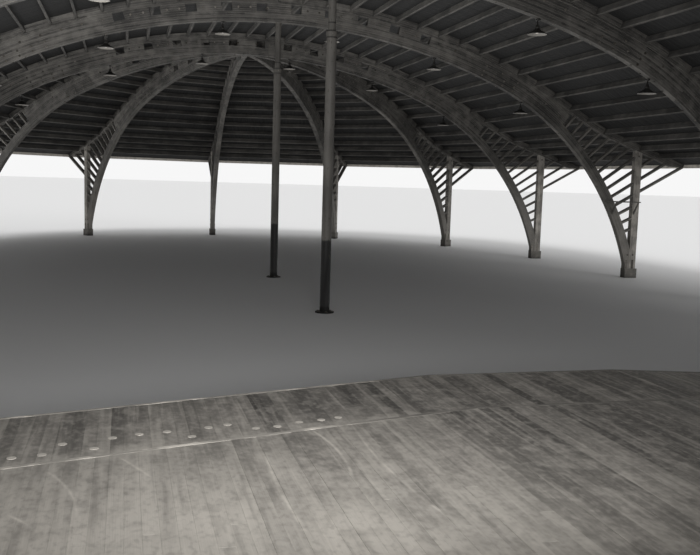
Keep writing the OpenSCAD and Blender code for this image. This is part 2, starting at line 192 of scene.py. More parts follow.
# Boards and plugs of the stage
FLOOR_BOARD = 0.083
FLOOR_BOARDS = (1.2, 4.2)
FLOOR_GAP = 0.0003
FLOOR_CORNER = 0.0004
FLOOR_UNEVEN = 0.0015
NOSING_W = 0.035
SEAM_W = 0.04
EDGE_BOARDS = (2.4, 4.2)
SKIRT_ROWS = 4
SKIRT_BOARDS = (2.4, 4.5)
SKIRT_GAP = 0.004
SKIRT_UNEVEN = 0.002
PLUG_FIRST = -4.13
PLUG_PITCH = 0.15
PLUG_ROWS = {"n": 0.17, "f": 0.33}
PLUG_ORDER = "nnfnfffnffnnnnn"
PLUG_R = 0.028
PLUG_STRAY = (0.03, 0.02)

# Looks of the surfaces, the lamps and the camera
WARMTH = 0.03
# Heights between which timber grows paler towards the feet
FOOT_PALING = (3.2, 0.6)
SCRATCH_HALF = 0.015
# Middle of the pale patch on the stage: worn by feet, and a painted pool of light
WALKED_AND_LIT = (-3.1, -14.5)
SCRATCHES = [
    [(-3.90, -12.83), (-3.74, -13.26), (-3.71, -13.51)],
    [(-2.27, -12.25), (-2.21, -12.58), (-2.23, -13.18)],
    [(-2.65, -12.70), (-2.67, -13.39), (-2.64, -13.96)],
    [(-3.51, -12.64), (-3.42, -12.83), (-3.34, -13.02)],
    [(-4.03, -13.44), (-3.95, -13.55), (-3.87, -13.69)],
    [(-1.98, -12.40), (-1.99, -13.05), (-1.90, -13.86)],
    [(0.93, -10.80), (0.945, -11.20), (0.94, -11.68)],
    [(1.27, -10.70), (1.30, -11.05), (1.32, -11.45)],
]
GROUND_TONE = 0.92
GROUND_R = 400
SKY_LIGHT = 0.55
SKY_SEEN = 0.93
SUN_WIDTH = 25
SUNS = [
    ("sun", 1.6, (-20, -30, 25), (0, 0, 0)),
    ("low_sun", 1.0, (16, -30, 6), (0, 0, 0)),
]
# Panel lamps: name, energy, place, aim, width, depth and spread in degrees
PANELS = [
    ("stage_light", 340, (-2.3, -16.3, 2.2), (-2.4, -6, 5.5), 3, 1.2, 120),
    ("front_light", 310, (-4.8, -10.2, 0.35), (-4.4, -4.5, 5.5), 5, 0.6, 86),
    ("far_light", 135, (0, 12.5, 0.1), (0, 12.5, 6), 13, 10, 180),
    ("hall_light", 380, (0, 0, 0.1), (0, 0, 6), 14, 14, 180),
    ("left_light", 260, (-13.5, 0, 0.3), (-3.5, 0, 4.96), 32, 0.4, 50),
]
CAMERA_AT = (-3.481, -17.762, 2.366)
CAMERA_TURNS = (14.7275, 6.3795, 1.7155)
CAMERA_LENS = 44.305

HALL = (ARCHES - 1) * BAY / 2
TURN = math.radians(HAUNCH_TURN)
RAKE = math.radians(ROOF_TURN)
TAIL = math.radians(TAIL_SLOPE)
STAGE_RISE = math.tan(math.radians(STAGE_SPLAY))
FACET = math.radians(RIB_STEP / 2)
C1Z = CROWN_Z - ARCH_R
C2R = (ARCH_R - HAUNCH_R) * math.sin(TURN)
C2Z = C1Z + (ARCH_R - HAUNCH_R) * math.cos(TURN)
BACK_R = HAUNCH_R + CHORD_D
POST_IN = C2R + math.sqrt(BACK_R**2 - (LEG_Z - C2Z) ** 2)
POST_OUT = POST_IN + POST_D
EAVE_R = POST_OUT + OVERHANG
TOP_R = ARCH_R + CROWN_D
TURN_S = ARCH_R * TURN
FOOT_S = TURN_S + HAUNCH_R * (math.pi / 2 - math.asin(-C2Z / BACK_R) - TURN)
ARC_S = TOP_R * RAKE
ARC_R = TOP_R * math.sin(RAKE)
ARC_Z = C1Z + TOP_R * math.cos(RAKE)
SLOPE_S = (KICK_R - ARC_R) / math.cos(RAKE)
KICK_Z = ARC_Z - (KICK_R - ARC_R) * math.tan(RAKE)
ROOF_S = ARC_S + SLOPE_S + (EAVE_R - KICK_R) / math.cos(TAIL)


def roof_point(s):
    """Point of the roof's underside, s metres down it from the ridge."""
    if s <= ARC_S:
        return TOP_R * math.sin(s / TOP_R), C1Z + TOP_R * math.cos(s / TOP_R)
    s -= ARC_S
    if s <= SLOPE_S:
        return ARC_R + s * math.cos(RAKE), ARC_Z - s * math.sin(RAKE)
    s -= SLOPE_S
    return KICK_R + s * math.cos(TAIL), KICK_Z - s * math.sin(TAIL)


PURLINS = math.floor((ROOF_S - EAVE_CLEAR) / PURLIN_PITCH)
COURSES = round((ROOF_S - RIDGE_CLEAR) / SHINGLE_PITCH)
COURSE_PITCH = (ROOF_S - RIDGE_CLEAR) / COURSES
ROOF_LINE = [roof_point(k * PURLIN_PITCH) for k in range(PURLINS + 1)] + [roof_point(ROOF_S)]
FACET_LINE = [(r * math.cos(FACET), z) for r, z in ROOF_LINE]
DECK_RISE = DECK_T / math.cos(TAIL)
BOARD_RISE = BOARD_T / math.cos(TAIL)


def height_on(line, r):
    """Height of a line of (distance, height) points at a distance from the axis."""
    for (r0, z0), (r1, z1) in zip(line, line[1:]):
        if r <= r1:
            break
    return z0 + (z1 - z0) * (r - r0) / (r1 - r0)


def slope_at(line, k):
    """Slope of the line at its k-th point, in radians."""
    if k == 0:
        return 0.0
    (r0, z0), (r1, z1) = line[k - 1], line[k + 1]
    return math.atan2(z0 - z1, r1 - r0)


TAIL_Z = ROOF_LINE[-1][1] - TAIL_END
TAIL_R = EAVE_R - (RAFTER_D - TAIL_END) / math.tan(TAIL)
SLAT_LOW = math.degrees(math.atan2(TAIL_Z - C2Z, EAVE_R - C2R)) - BRACE_FIRST * SLAT_PITCH
WEB_END = math.radians(SLAT_LOW + (SLATS - 0.5) * SLAT_PITCH)
WEB_S = TURN_S + HAUNCH_R * (math.pi / 2 - WEB_END - TURN)
HIP_DROP = 2 * GAP + ARCH_W / 2 * math.tan(FACET) * math.tan(RAKE + PURLIN_PITCH / TOP_R / 2)


def soffit_r(z):
    """Distance from the axis to the arch's soffit at a height on the leg."""
    return C2R + math.sqrt(HAUNCH_R**2 - (z - C2Z) ** 2)


def soffit_z(r):
    """Height of the arch's soffit at a distance from the axis."""
    if r <= ARCH_R * math.sin(TURN):
        return C1Z + math.sqrt(ARCH_R**2 - r**2)
    return C2Z + math.sqrt(HAUNCH_R**2 - (r - C2R) ** 2)


STAGE_R = soffit_r(STAGE_H) - GAP


def soffit(s):
    """Point and outward normal of the arch's underside, s metres along it from the crown."""
    side = math.copysign(1, s)
    angle = abs(s) / ARCH_R if abs(s) <= TURN_S else TURN + (abs(s) - TURN_S) / HAUNCH_R
    normal = Vector((side * math.sin(angle), 0, math.cos(angle)))
    if abs(s) <= TURN_S:
        return Vector((0, 0, C1Z)) + ARCH_R * normal, normal
    return Vector((side * C2R, 0, C2Z)) + HAUNCH_R * normal, normal


def rafter_under(r):
    """Height of the rafters' underside at a distance from the axis."""
    return height_on(ROOF_LINE, r) - RAFTER_D


def farthest(clear, high, rounds):
    """Largest distance up to high that is still clear, found by halving."""
    low = 0.0
    for _ in range(rounds):
        middle = (low + high) / 2
        if clear(middle):
            low = middle
        else:
            high = middle
    return low


def web_depth(s):
    """Distance from the back of the lower chord to the underside of the upper one."""
    point, normal = soffit(s)

    def clear(depth):
        p = point + (CHORD_D + depth) * normal
        return p.z < rafter_under(p.x)

    return farthest(clear, 1.5, 24)


def hall_leg(arch, side):
    """Plane of one leg of an arch, 1 to 4. Side is 1 on the right and -1 on the left."""
    turn = 0 if side > 0 else math.pi
    return Matrix.Translation((0, (arch - 1) * BAY - HALL, 0)) @ Matrix.Rotation(turn, 4, "Z")


def end_plane(end, angle):
    """Plane from the hub of a half-dome outwards, at an angle in degrees from the last arch."""
    turn = math.pi if end == "front" else 0
    hub = Matrix.Rotation(turn, 4, "Z") @ Matrix.Translation((0, HALL, 0))
    return hub @ Matrix.Rotation(math.radians(angle), 4, "Z")


SIDES = ((1, "right"), (-1, "left"))
ENDS = ("front", "back")


def rib_cuts(angle):
    """Planes that trim a rib beside its neighbours and the last arch, as (point, direction cut away)."""
    a = math.radians(angle)
    across = Vector((math.sin(a), math.cos(a), 0))
    return [
        (Vector(), Vector((-math.sin(FACET), math.cos(FACET), 0))),
        (Vector(), Vector((-math.sin(FACET), -math.cos(FACET), 0))),
        ((ARCH_W / 2 + GAP) * across, -across),
    ]


RIB_ANGLES = [k * RIB_STEP for k in range(1, RIBS + 1)]
FACET_ANGLES = [(k + 0.5) * RIB_STEP for k in range(RIBS + 1)]


class Boards:
    """A piece made of boards. Each face holds a UV in metres, along the grain and round the board, and
    each board a shade of its own. Faces on a board's corners are marked as worn."""

    def __init__(self):
        self.at = Matrix.Identity(4)
        self.mesh = bmesh.new()
        self.grain = self.mesh.loops.layers.uv.new("grain")
        self.shade = self.mesh.faces.layers.float.new("shade")
        self.worn = self.mesh.faces.layers.float.new("worn")

    def face(self, verts, uvs, shade, worn=0.0):
        face = self.mesh.faces.new(verts)
        face[self.shade] = shade
        face[self.worn] = worn
        for loop, uv in zip(face.loops, uvs):
            loop[self.grain].uv = uv

    def loft(self, rings, corners=False, shade=None):
        """Skin over rings of points, the board's length running from the first ring to the last.
        With corners, every second side of the rings is a worn corner."""
        shade = rng.random() if shade is None else shade
        u, v = rng.uniform(0, 40), rng.uniform(0, 40)
        verts = [[self.mesh.verts.new(self.at @ p) for p in ring] for ring in rings]
        n = len(rings[0])
        round_board = [v]
        for j in range(n):
            round_board.append(round_board[-1] + (rings[0][(j + 1) % n] - rings[0][j]).length)
        for i in range(len(rings) - 1):
            step = (rings[i + 1][0] - rings[i][0]).length
            for j in range(n):
                k = (j + 1) % n
                uvs = [
                    (u, round_board[j]), (u, round_board[j + 1]),
                    (u + step, round_board[j + 1]), (u + step, round_board[j]),
                ]
                worn = 1.0 if corners and j % 2 else 0.0
                self.face([verts[i][j], verts[i][k], verts[i + 1][k], verts[i + 1][j]], uvs, shade, worn)
            u += step
        for ring, cap in ((rings[0], verts[0]), (rings[-1], verts[-1])):
            uvs = [(v + END_SCALE * p.z, u + END_SCALE * (p.x + p.y)) for p in ring]
            self.face(cap, uvs, END_SHADE * shade)

    def beam(self, place, length, width, depth, corner=CORNER, shade=None):
        """Straight board along X from the place, with its width along Y and depth along Z about it."""
        rings = [
            [place @ Vector((x, y, z)) for y, z in section(width, -depth / 2, depth / 2, corner)]
            for x in (0, length)
        ]
        self.loft(rings, True, shade)

    def cut(self, point, direction):
        """Cuts away what lies past a plane, and closes the boards there."""
        everything = self.mesh.verts[:] + self.mesh.edges[:] + self.mesh.faces[:]
        made = bmesh.ops.bisect_plane(
            self.mesh, geom=everything, dist=1e-6, plane_co=point, plane_no=direction, clear_outer=True
        )
        rim = [e for e in made["geom_cut"] if isinstance(e, bmesh.types.BMEdge)]
        bmesh.ops.holes_fill(self.mesh, edges=rim, sides=0)

    def cut_out(self, x, side=1):
        """Cuts away what lies farther out than X, on one side."""
        self.cut((side * x, 0, 0), (side, 0, 0))

    def cut_under(self, z):
        self.cut((0, 0, z), (0, 0, -1))

    def done(self, name, material, slot, nodes=(), place=None):
        """Turns the boards into a piece of the scene that stands for the CAD nodes named."""
        if place is not None:
            self.mesh.transform(place)
        bmesh.ops.recalc_face_normals(self.mesh, faces=self.mesh.faces[:])
        return keep(self.mesh, name, material, nodes)


class Fittings:
    """A piece of turned and forged metal parts."""

    def __init__(self):
        self.mesh = bmesh.new()

    def turned(self, place, profile, sides=24, smooth=True, paint=None):
        """Turns a profile of (radius, height) points about the place's Z axis. Paint gives the material of
        each point's band."""
        angles = [2 * math.pi * k / sides for k in range(sides)]
        rings = []
        for r, z in profile:
            ring = [Vector((r * math.cos(a), r * math.sin(a), z)) for a in angles]
            rings.append([self.mesh.verts.new(place @ p) for p in ring])
        for i, (low, high) in enumerate(zip(rings, rings[1:])):
            for k in range(sides):
                j = (k + 1) % sides
                band = self.mesh.faces.new([low[k], low[j], high[j], high[k]])
                band.smooth = smooth
                band.material_index = paint[i] if paint else 0
        self.mesh.faces.new(rings[0][::-1]).material_index = paint[0] if paint else 0
        self.mesh.faces.new(rings[-1])

    def bolt(self, place, head):
        """A hexagon head on a round washer, standing on the place's XY plane."""
        washer = 0.85 * head
        self.turned(place, [(washer, -0.002), (washer, 0.003), (0.9 * washer, 0.004)], 14, False)
        top = 0.004 + 0.4 * head
        profile = [(head / 2, 0.003), (head / 2, 0.85 * top), (0.42 * head, top)]
        self.turned(place, profile, 6, False)

    def done(self, name, material, slot, nodes=()):
        return keep(self.mesh, name, material, nodes)


def show(name, data):
    """Puts an object in the scene."""
    made = bpy.data.objects.new(name, data)
    bpy.context.scene.collection.objects.link(made)
    return made


def skin(mesh, name, material):
    """Puts a finished mesh in the scene."""
    data = bpy.data.meshes.new(name)
    mesh.to_mesh(data)
    mesh.free()
    data.materials.append(material)
    return show(name, data)


def keep(mesh, name, material, nodes):
    """Turns a finished mesh into a piece that rides on the building, in place of some CAD nodes."""
    piece = skin(mesh, name, material)
    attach(piece, "root")
    if nodes:
        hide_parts(*nodes)
    return piece


def section(width, low, high, corner):
    """Outline of a board with its corners taken off, as (across, up) points, every second side a corner."""
    w, c = width / 2, corner
    return [
        (-w + c, low), (w - c, low), (w, low + c), (w, high - c),
        (w - c, high), (-w + c, high), (-w, high - c), (-w, low + c),
    ]


def flat_end(x, y0, y1, low, high, fall=0.0):
    """End of a flat board at X, which lies lower by a fall at y1."""
    corners = (y0, low), (y1, low - fall), (y1, high - fall), (y0, high)
    return [Vector((x, y, z)) for y, z in corners]


def sawn(width):
    """Width of one board as the saw left it."""
    return width - rng.uniform(0, UNEVEN)


def lengths(start, stop, shortest, longest):
    """Splits a stretch into boards of chance lengths."""
    cuts = [start]
    while stop - cuts[-1] > longest:
        cuts.append(cuts[-1] + rng.uniform(shortest, longest))
    if len(cuts) > 1 and stop - cuts[-1] < shortest / 3:
        cuts.pop()
    return list(zip(cuts, cuts[1:] + [stop]))


def fixed(y):
    """Line across the boards that stays at one Y."""
    return lambda x: y


def spans(first, last, middle, joint, shortest, longest):
    """Splits what lies between two lines, functions of X, into boards, each given by two such lines."""
    stretches = lengths(first(middle), last(middle), shortest, longest)
    starts = [first] + [fixed(a + joint) for a, _ in stretches[1:]]
    stops = [fixed(b - joint) for _, b in stretches[:-1]] + [last]
    return list(zip(starts, stops))


def axes(x, y, z):
    """Turn that brings the axes to three directions."""
    return Matrix((x, y, z)).transposed().to_4x4()


def facing(point, out, along):
    """Place whose Z axis points out and whose X axis runs along."""
    z = Vector(out).normalized()
    y = z.cross(Vector(along)).normalized()
    return Matrix.Translation(point) @ axes(y.cross(z), y, z)


def tone(level, warmth=WARMTH):
    """Near-grey colour that shows at a level from 0 to 1 on the screen, a little warm."""
    channels = [level * (1 + warmth), level, level * (1 - 1.6 * warmth)]
    return [c / 12.92 if c < 0.04045 else ((c + 0.055) / 1.055) ** 2.4 for c in channels] + [1.0]


class Surface:
    """A material whose colour, roughness and relief come from nodes. Its colour is laid on in coats."""

    def __init__(self, name, roughness=0.8, metallic=0.0):
        self.material = bpy.data.materials.new(name)
        self.material.use_nodes = True
        self.nodes = self.material.node_tree.nodes
        self.shader = self.nodes["Principled BSDF"]
        self.shader.inputs["Roughness"].default_value = roughness
        self.shader.inputs["Metallic"].default_value = metallic
        self.colour = tone(0.5)

    def set(self, socket, value):
        if isinstance(value, bpy.types.NodeSocket):
            self.material.node_tree.links.new(value, socket)
        else:
            socket.default_value = value

    def add(self, kind, inputs, output=0, **settings):
        node = self.nodes.new("ShaderNode" + kind)
        for name, value in settings.items():
            setattr(node, name, value)
        for name, value in inputs.items():
            self.set(node.inputs[name], value)
        return node.outputs[output]

    def place(self):
        return self.add("TexCoord", {}, "Object")

    def grain(self):
        return self.add("UVMap", {}, uv_map="grain")

    def mark(self, name):
        return self.add("Attribute", {}, "Fac", attribute_name=name)

    def along(self, axis, vector):
        return self.add("SeparateXYZ", {0: vector}, axis)

    def noise(self, vector, stretch=(1, 1, 1), scale=1.0, detail=4.0, distortion=0.0):
        """Noise between about 0.3 and 0.7, stretched by a scale for each axis of the vector."""
        scaled = self.add("Mapping", {"Vector": vector, "Scale": stretch})
        inputs = {"Vector": scaled, "Scale": scale, "Detail": detail, "Distortion": distortion}
        return self.add("TexNoise", inputs)

    def ramp(self, value, start, stop, first=0.0, last=1.0):
        """Value taken from the range start to stop into the range first to last, and kept inside it."""
        return self.add("MapRange", {0: value, 1: start, 2: stop, 3: first, 4: last})

    def calc(self, operation, a, b=0.0):
        return self.add("Math", {0: a, 1: b}, operation=operation)

    def times(self, a, b):
        return self.calc("MULTIPLY", a, b)

    def minus(self, a, b):
        return self.calc("SUBTRACT", a, b)

    def plus(self, a, b):
        return self.calc("ADD", a, b)

    def absolute(self, a):
        return self.calc("ABSOLUTE", a)

    def blend(self, share, a, b):
        return self.add("Mix", {0: share, 6: a, 7: b}, 2, data_type="RGBA")

    def base(self, share, dark, pale):
        """First coat, between two tones."""
        self.colour = self.blend(share, tone(dark), tone(pale))

    def coat(self, share, level, warmth=WARMTH):
        """Lays a tone over the coats below it, by a share from 0 to 1."""
        self.colour = self.blend(share, self.colour, tone(level, warmth))

    def wash(self, value, start, stop, most, level):
        """Coat whose share grows from 0 to the most, as the value goes from start to stop."""
        self.coat(self.ramp(value, start, stop, 0.0, most), level)

    def finish(self, roughness, height, depth):
        """Connects the colour, the roughness and the relief, whose depth is in metres."""
        self.set(self.shader.inputs["Base Color"], self.colour)
        self.set(self.shader.inputs["Roughness"], roughness)
        bump = self.add("Bump", {"Height": height, "Distance": depth, "Strength": 1.0})
        self.set(self.shader.inputs["Normal"], bump)
        return self.material


def sawn_relief(s, fibre, bands):
    return s.plus(fibre, s.times(bands, 1.4))


def timber(name, dark, pale, worn, stains=0.5, dust=0.0, foot_paling=0.0):
    """Sawn timber: fibres and growth bands along each board, boards of different shades, stains across
    them and paler corners. Dust lies on faces that look up, and the feet can be made paler."""
    s = Surface(name)
    grain, place = s.grain(), s.place()
    fibre = s.noise(grain, (5, 210, 1), detail=3.0)
    bands = s.noise(grain, (0.9, 26, 1), detail=5.0, distortion=0.6)
    knots = s.ramp(s.noise(grain, (2.3, 8.5, 1), detail=1.0), 0.71, 0.78)
    s.base(s.mark("shade"), dark, pale)
    s.wash(bands, 0.35, 0.65, 0.5, 0.62 * dark)
    s.wash(fibre, 0.42, 0.66, 0.35, 1.25 * pale)
    s.coat(s.times(knots, 0.6), 0.45 * dark)
    s.coat(s.ramp(s.noise(place, scale=5.0, detail=8.0), 0.44, 0.64, 0.0, 0.4), 1.2 * pale)
    stain = s.ramp(s.noise(place, scale=1.3, detail=8.0), 0.44, 0.62)
    s.coat(s.times(stain, stains), 0.55 * dark)
    rubbed = s.ramp(s.noise(place, scale=7.0), 0.4, 0.62, 0.15, 0.8)
    s.coat(s.times(s.mark("worn"), rubbed), worn)
    # Paler towards the feet, from the first height down to the second
    if foot_paling:
        s.coat(s.ramp(s.along("Z", place), *FOOT_PALING, 0.0, foot_paling), 1.6 * pale)
    if dust:
        up = s.along("Z", s.add("NewGeometry", {}, "Normal"))
        s.coat(s.ramp(up, 0.5, 0.95, 0.0, dust), 0.5, 0.02)
    return s.finish(s.ramp(bands, 0.3, 0.7, 0.68, 0.9), sawn_relief(s, fibre, bands), 0.0012)


def node_timber(name, dark, pale, along):
    """Timber for CAD members that all run along one axis, with a shade of their own from their place."""
    s = Surface(name)
    place = s.place()
    fibre = s.noise(place, [7 if axis == along else 150 for axis in "XYZ"], detail=3.0)
    bands = s.noise(place, [0.8 if axis == along else 16 for axis in "XYZ"], detail=5.0, distortion=0.5)
    member = s.noise(place, [0.02 if axis == along else 1.1 for axis in "XYZ"], detail=1.0)
    s.base(s.ramp(member, 0.38, 0.62), dark, pale)
    s.wash(bands, 0.35, 0.65, 0.4, 0.7 * dark)
    s.wash(fibre, 0.42, 0.66, 0.3, 1.15 * pale)
    return s.finish(s.ramp(bands, 0.3, 0.7, 0.7, 0.92), sawn_relief(s, fibre, bands), 0.0012)


def paint_on_wood(name, level):
    """Old white paint on boards, with the grain telegraphing through, dirt in runs and bare corners."""
    s = Surface(name)
    grain, place = s.grain(), s.place()
    bands = s.noise(grain, (0.9, 40, 1))
    runs = s.ramp(s.noise(place, (6, 6, 0.7), detail=5.0), 0.48, 0.7)
    flakes = s.ramp(s.noise(place, scale=24.0, detail=6.0), 0.6, 0.66)
    s.base(s.mark("shade"), 0.92 * level, level)
    s.coat(s.times(runs, 0.4), 0.55 * level)
    s.coat(s.calc("MAXIMUM", s.times(flakes, 0.5), s.times(s.mark("worn"), 0.35)), 0.36)
    height = s.minus(s.times(bands, 0.5), flakes)
    return s.finish(s.ramp(runs, 0, 1, 0.5, 0.8), height, 0.0008)


def column_paint():
    """Matt paint on steel pipe, dark at the foot, with runs, dark rings at the collar's edges and spots of
    rust.
    """
    s = Surface("column_paint")
    s.shader.inputs["Specular IOR Level"].default_value = 0.19
    place = s.place()
    z = s.along("Z", place)
    edge = s.plus(z, s.times(s.noise(place, (9, 9, 3), detail=5.0), 0.12))
    foot = s.ramp(edge, FOOT_PAINT + 0.05, FOOT_PAINT + 0.08, 1.0, 0.0)
    runs = s.ramp(s.noise(place, (14, 14, 0.8), detail=5.0), 0.45, 0.72)
    spots = s.ramp(s.noise(place, (1, 1, 0.6), scale=30.0, detail=6.0), 0.62, 0.67)
    low = s.ramp(z, 0.0, 0.5, 1.0, 0.0)
    s.base(s.ramp(s.noise(place, (1, 1, 0.5), scale=2.5), 0.35, 0.65), 0.22, 0.29)
    s.coat(s.times(runs, 0.35), 0.18)
    s.coat(foot, 0.04)
    s.coat(s.times(low, 0.25), 0.08, 0.06)
    # Dark rings at the collar's edges
    for joint in COLLAR_EDGES:
        off = s.absolute(s.minus(z, joint))
        s.coat(s.ramp(off, 0.006, 0.016, 0.85, 0.0), 0.06)
    s.coat(s.times(spots, 0.7), 0.13, 0.12)
    return s.finish(s.ramp(runs, 0, 1, 0.55, 0.8), s.minus(runs, spots), 0.0006)


def concrete_block():
    """Cast concrete: pitted, with board marks, and damp at the ground."""
    s = Surface("concrete_block")
    place = s.place()
    pits = s.ramp(s.noise(place, scale=90.0, detail=3.0), 0.62, 0.7)
    clouds = s.noise(place, scale=5.0, detail=8.0)
    lifts = s.noise(place, (0.5, 0.5, 11), detail=2.0)
    damp = s.ramp(s.plus(s.along("Z", place), s.times(clouds, 0.1)), 0.08, 0.17, 1.0, 0.0)
    s.base(s.ramp(clouds, 0.35, 0.65), 0.3, 0.42)
    s.wash(lifts, 0.4, 0.6, 0.25, 0.26)
    s.coat(s.times(damp, 0.6), 0.16)
    s.coat(s.times(pits, 0.7), 0.14)
    height = s.minus(clouds, s.times(pits, 1.5))
    return s.finish(s.ramp(clouds, 0.3, 0.7, 0.8, 0.95), height, 0.004)


def enamel(name, level, chips=0.24, roughness=0.28):
    """Baked enamel with dust settling on it and small chips."""
    s = Surface(name)
    place = s.place()
    dust = s.ramp(s.noise(place, scale=9.0, detail=6.0), 0.4, 0.66)
    spots = s.ramp(s.noise(place, scale=70.0, detail=3.0), 0.68, 0.71)
    s.base(s.times(dust, 0.4), level, 0.6 * level + 0.12)
    s.coat(spots, chips, 0.1)
    return s.finish(s.ramp(dust, 0, 1, roughness, roughness + 0.35), spots, -0.0004)


def iron():
    """Black iron of bolts and fittings, dulled and rusted in places."""
    s = Surface("iron", metallic=0.6)
    place = s.place()
    rust = s.ramp(s.noise(place, scale=55.0, detail=5.0), 0.45, 0.62)
    s.base(s.ramp(s.noise(place, scale=1.3, detail=2.0), 0.4, 0.6), 0.2, 0.42)
    s.coat(s.times(rust, 0.6), 0.24, 0.16)
    return s.finish(s.ramp(rust, 0, 1, 0.45, 0.85), rust, 0.0004)


def roof_shingle():
    """Weathered wooden shingles: grain down the slope, moss in patches and shades of their own."""
    s = Surface("roof_shingle")
    grain, place = s.grain(), s.place()
    fibre = s.noise(grain, (7, 130, 1))
    moss = s.ramp(s.noise(place, scale=0.45, detail=8.0), 0.5, 0.7)
    s.base(s.mark("shade"), 0.24, 0.42)
    s.wash(fibre, 0.4, 0.64, 0.45, 0.5)
    s.coat(s.times(moss, 0.5), 0.22, 0.08)
    s.coat(s.times(s.mark("worn"), 0.5), 0.14)
    return s.finish(s.ramp(fibre, 0.3, 0.7, 0.75, 0.95), fibre, 0.002)


def circle_through(points):
    """Centre and radius of the circle through three points in plan."""
    (ax, ay), (bx, by), (cx, cy) = points
    a, b, c = ax * ax + ay * ay, bx * bx + by * by, cx * cx + cy * cy
    twice = 2 * (ax * (by - cy) + bx * (cy - ay) + cx * (ay - by))
    x = (a * (by - cy) + b * (cy - ay) + c * (ay - by)) / twice
    y = (a * (cx - bx) + b * (ax - cx) + c * (bx - ax)) / twice
    return (x, y), math.hypot(ax - x, ay - y)


def distance_from(s, place, point):
    """Distance on the stage from a point in plan."""
    return s.add("VectorMath", {0: place, 1: (*point, STAGE_H)}, 1, operation="DISTANCE")


def scratch_share(s, place, points):
    """Share of a scratch that curves through three points and fades at its ends."""
    centre, radius = circle_through(points)
    off = s.absolute(s.minus(distance_from(s, place, centre), radius))
    ends = points[0], points[2]
    middle = [(a + b) / 2 for a, b in zip(*ends)]
    reach = math.dist(*ends) / 2
    inside = s.ramp(distance_from(s, place, middle), 0.8 * reach, 1.05 * reach, 1.0, 0.0)
    return s.times(s.ramp(off, 0.0, SCRATCH_HALF, 1.0, 0.0), inside)


def seam_distance(s, place):
    """Distance along Y from the seam in front of the stage floor."""
    x, y = s.along("X", place), s.along("Y", place)
    past = s.calc("MAXIMUM", s.minus(s.absolute(x), STAGE_MID / 2), 0.0)
    front = s.plus(s.times(past, STAGE_RISE), HALL + STAGE_FRONT + APRON_D)
    return s.absolute(s.plus(y, front))


def stage_wood():
    """Narrow worn floor strips: pale where the floor is worn by feet and paler still round that patch as a
    painted pool of light, pale along the seam, with curved scratches and dirt in the joints."""
    s = Surface("stage_wood")
    grain, place = s.grain(), s.place()
    fibre = s.noise(grain, (4, 160, 1), detail=3.0)
    bands = s.noise(grain, (0.7, 24, 1), detail=5.0, distortion=0.5)
    streaks = s.noise(grain, (1.1, 19, 1), distortion=0.4)
    clouds = s.noise(place, (1, 0.5, 0.1), scale=1.4, detail=8.0)
    scuffs = s.noise(place, (1, 0.75, 0.1), scale=9.0, detail=9.0, distortion=0.3)
    mottle = s.noise(place, (1, 0.6, 0.1), scale=30.0, detail=5.0)
    own = s.mark("shade")
    s.base(s.ramp(own, 0.0, 0.22), 0.25, 0.37)
    s.coat(s.ramp(own, 0.3, 1.0), 0.53)
    s.wash(bands, 0.4, 0.64, 0.22, 0.34)
    # Pale patch on the near stage: partly wear, partly a painted pool of light that fades away from the
    # front
    walked_and_lit = s.plus(distance_from(s, place, WALKED_AND_LIT), s.times(clouds, 3.0))
    walked_and_lit = s.ramp(walked_and_lit, 4.6, 2.1)
    s.coat(s.times(walked_and_lit, 0.75), 0.78)
    s.wash(clouds, 0.5, 0.64, 0.16, 0.3)
    s.wash(scuffs, 0.5, 0.64, 0.32, 0.7)
    s.wash(scuffs, 0.48, 0.36, 0.2, 0.34)
    s.wash(mottle, 0.5, 0.68, 0.28, 0.7)
    s.wash(mottle, 0.5, 0.32, 0.25, 0.32)
    s.wash(streaks, 0.52, 0.7, 0.32, 0.76)
    s.wash(streaks, 0.46, 0.3, 0.28, 0.3)
    s.wash(fibre, 0.44, 0.66, 0.1, 0.6)
    beside = s.ramp(seam_distance(s, place), 0.03, 0.15, 1.0, 0.0)
    # Seam rubbed pale, most inside the painted pool of light
    rubbed = s.times(beside, s.ramp(scuffs, 0.38, 0.58, 0.3, 0.8))
    s.coat(s.times(rubbed, walked_and_lit), 0.74)
    for points in SCRATCHES:
        broken = s.ramp(scuffs, 0.36, 0.58, 0.15, 0.6)
        s.coat(s.times(scratch_share(s, place, points), broken), 0.8)
    dirt = s.ramp(s.noise(place, (1, 1, 0.1), scale=2.3, detail=6.0), 0.42, 0.62, 0.0, 0.25)
    s.coat(s.times(s.mark("worn"), dirt), 0.2)
    rough = s.plus(s.ramp(clouds, 0.35, 0.65, 0.42, 0.58), s.ramp(scuffs, 0.4, 0.65, 0.0, 0.15))
    return s.finish(rough, s.plus(fibre, bands), 0.0007)


def worn_strip():
    """Wood of the strips at the seam and the front edge of the stage, paler and with pale patches towards
    -X.
    """
    s = Surface("worn_strip")
    grain, place = s.grain(), s.place()
    fibre = s.noise(grain, (5, 190, 1), detail=3.0)
    rubbed = s.ramp(s.noise(place, scale=3.5, detail=8.0), 0.5, 0.64)
    left = s.ramp(s.along("X", place), -2.2, -1.4, 1.0, 0.1)
    rubbed = s.times(rubbed, left)
    s.base(left, 0.4, 0.64)
    s.coat(rubbed, 0.88)
    s.wash(fibre, 0.42, 0.66, 0.2, 0.42)
    return s.finish(s.ramp(rubbed, 0, 1, 0.6, 0.45), fibre, 0.0008)


def plain_ground():
    """Pale studio floor."""
    s = Surface("plain_ground", roughness=0.9)
    s.shader.inputs["Base Color"].default_value = tone(GROUND_TONE, 0.0)
    return s.material


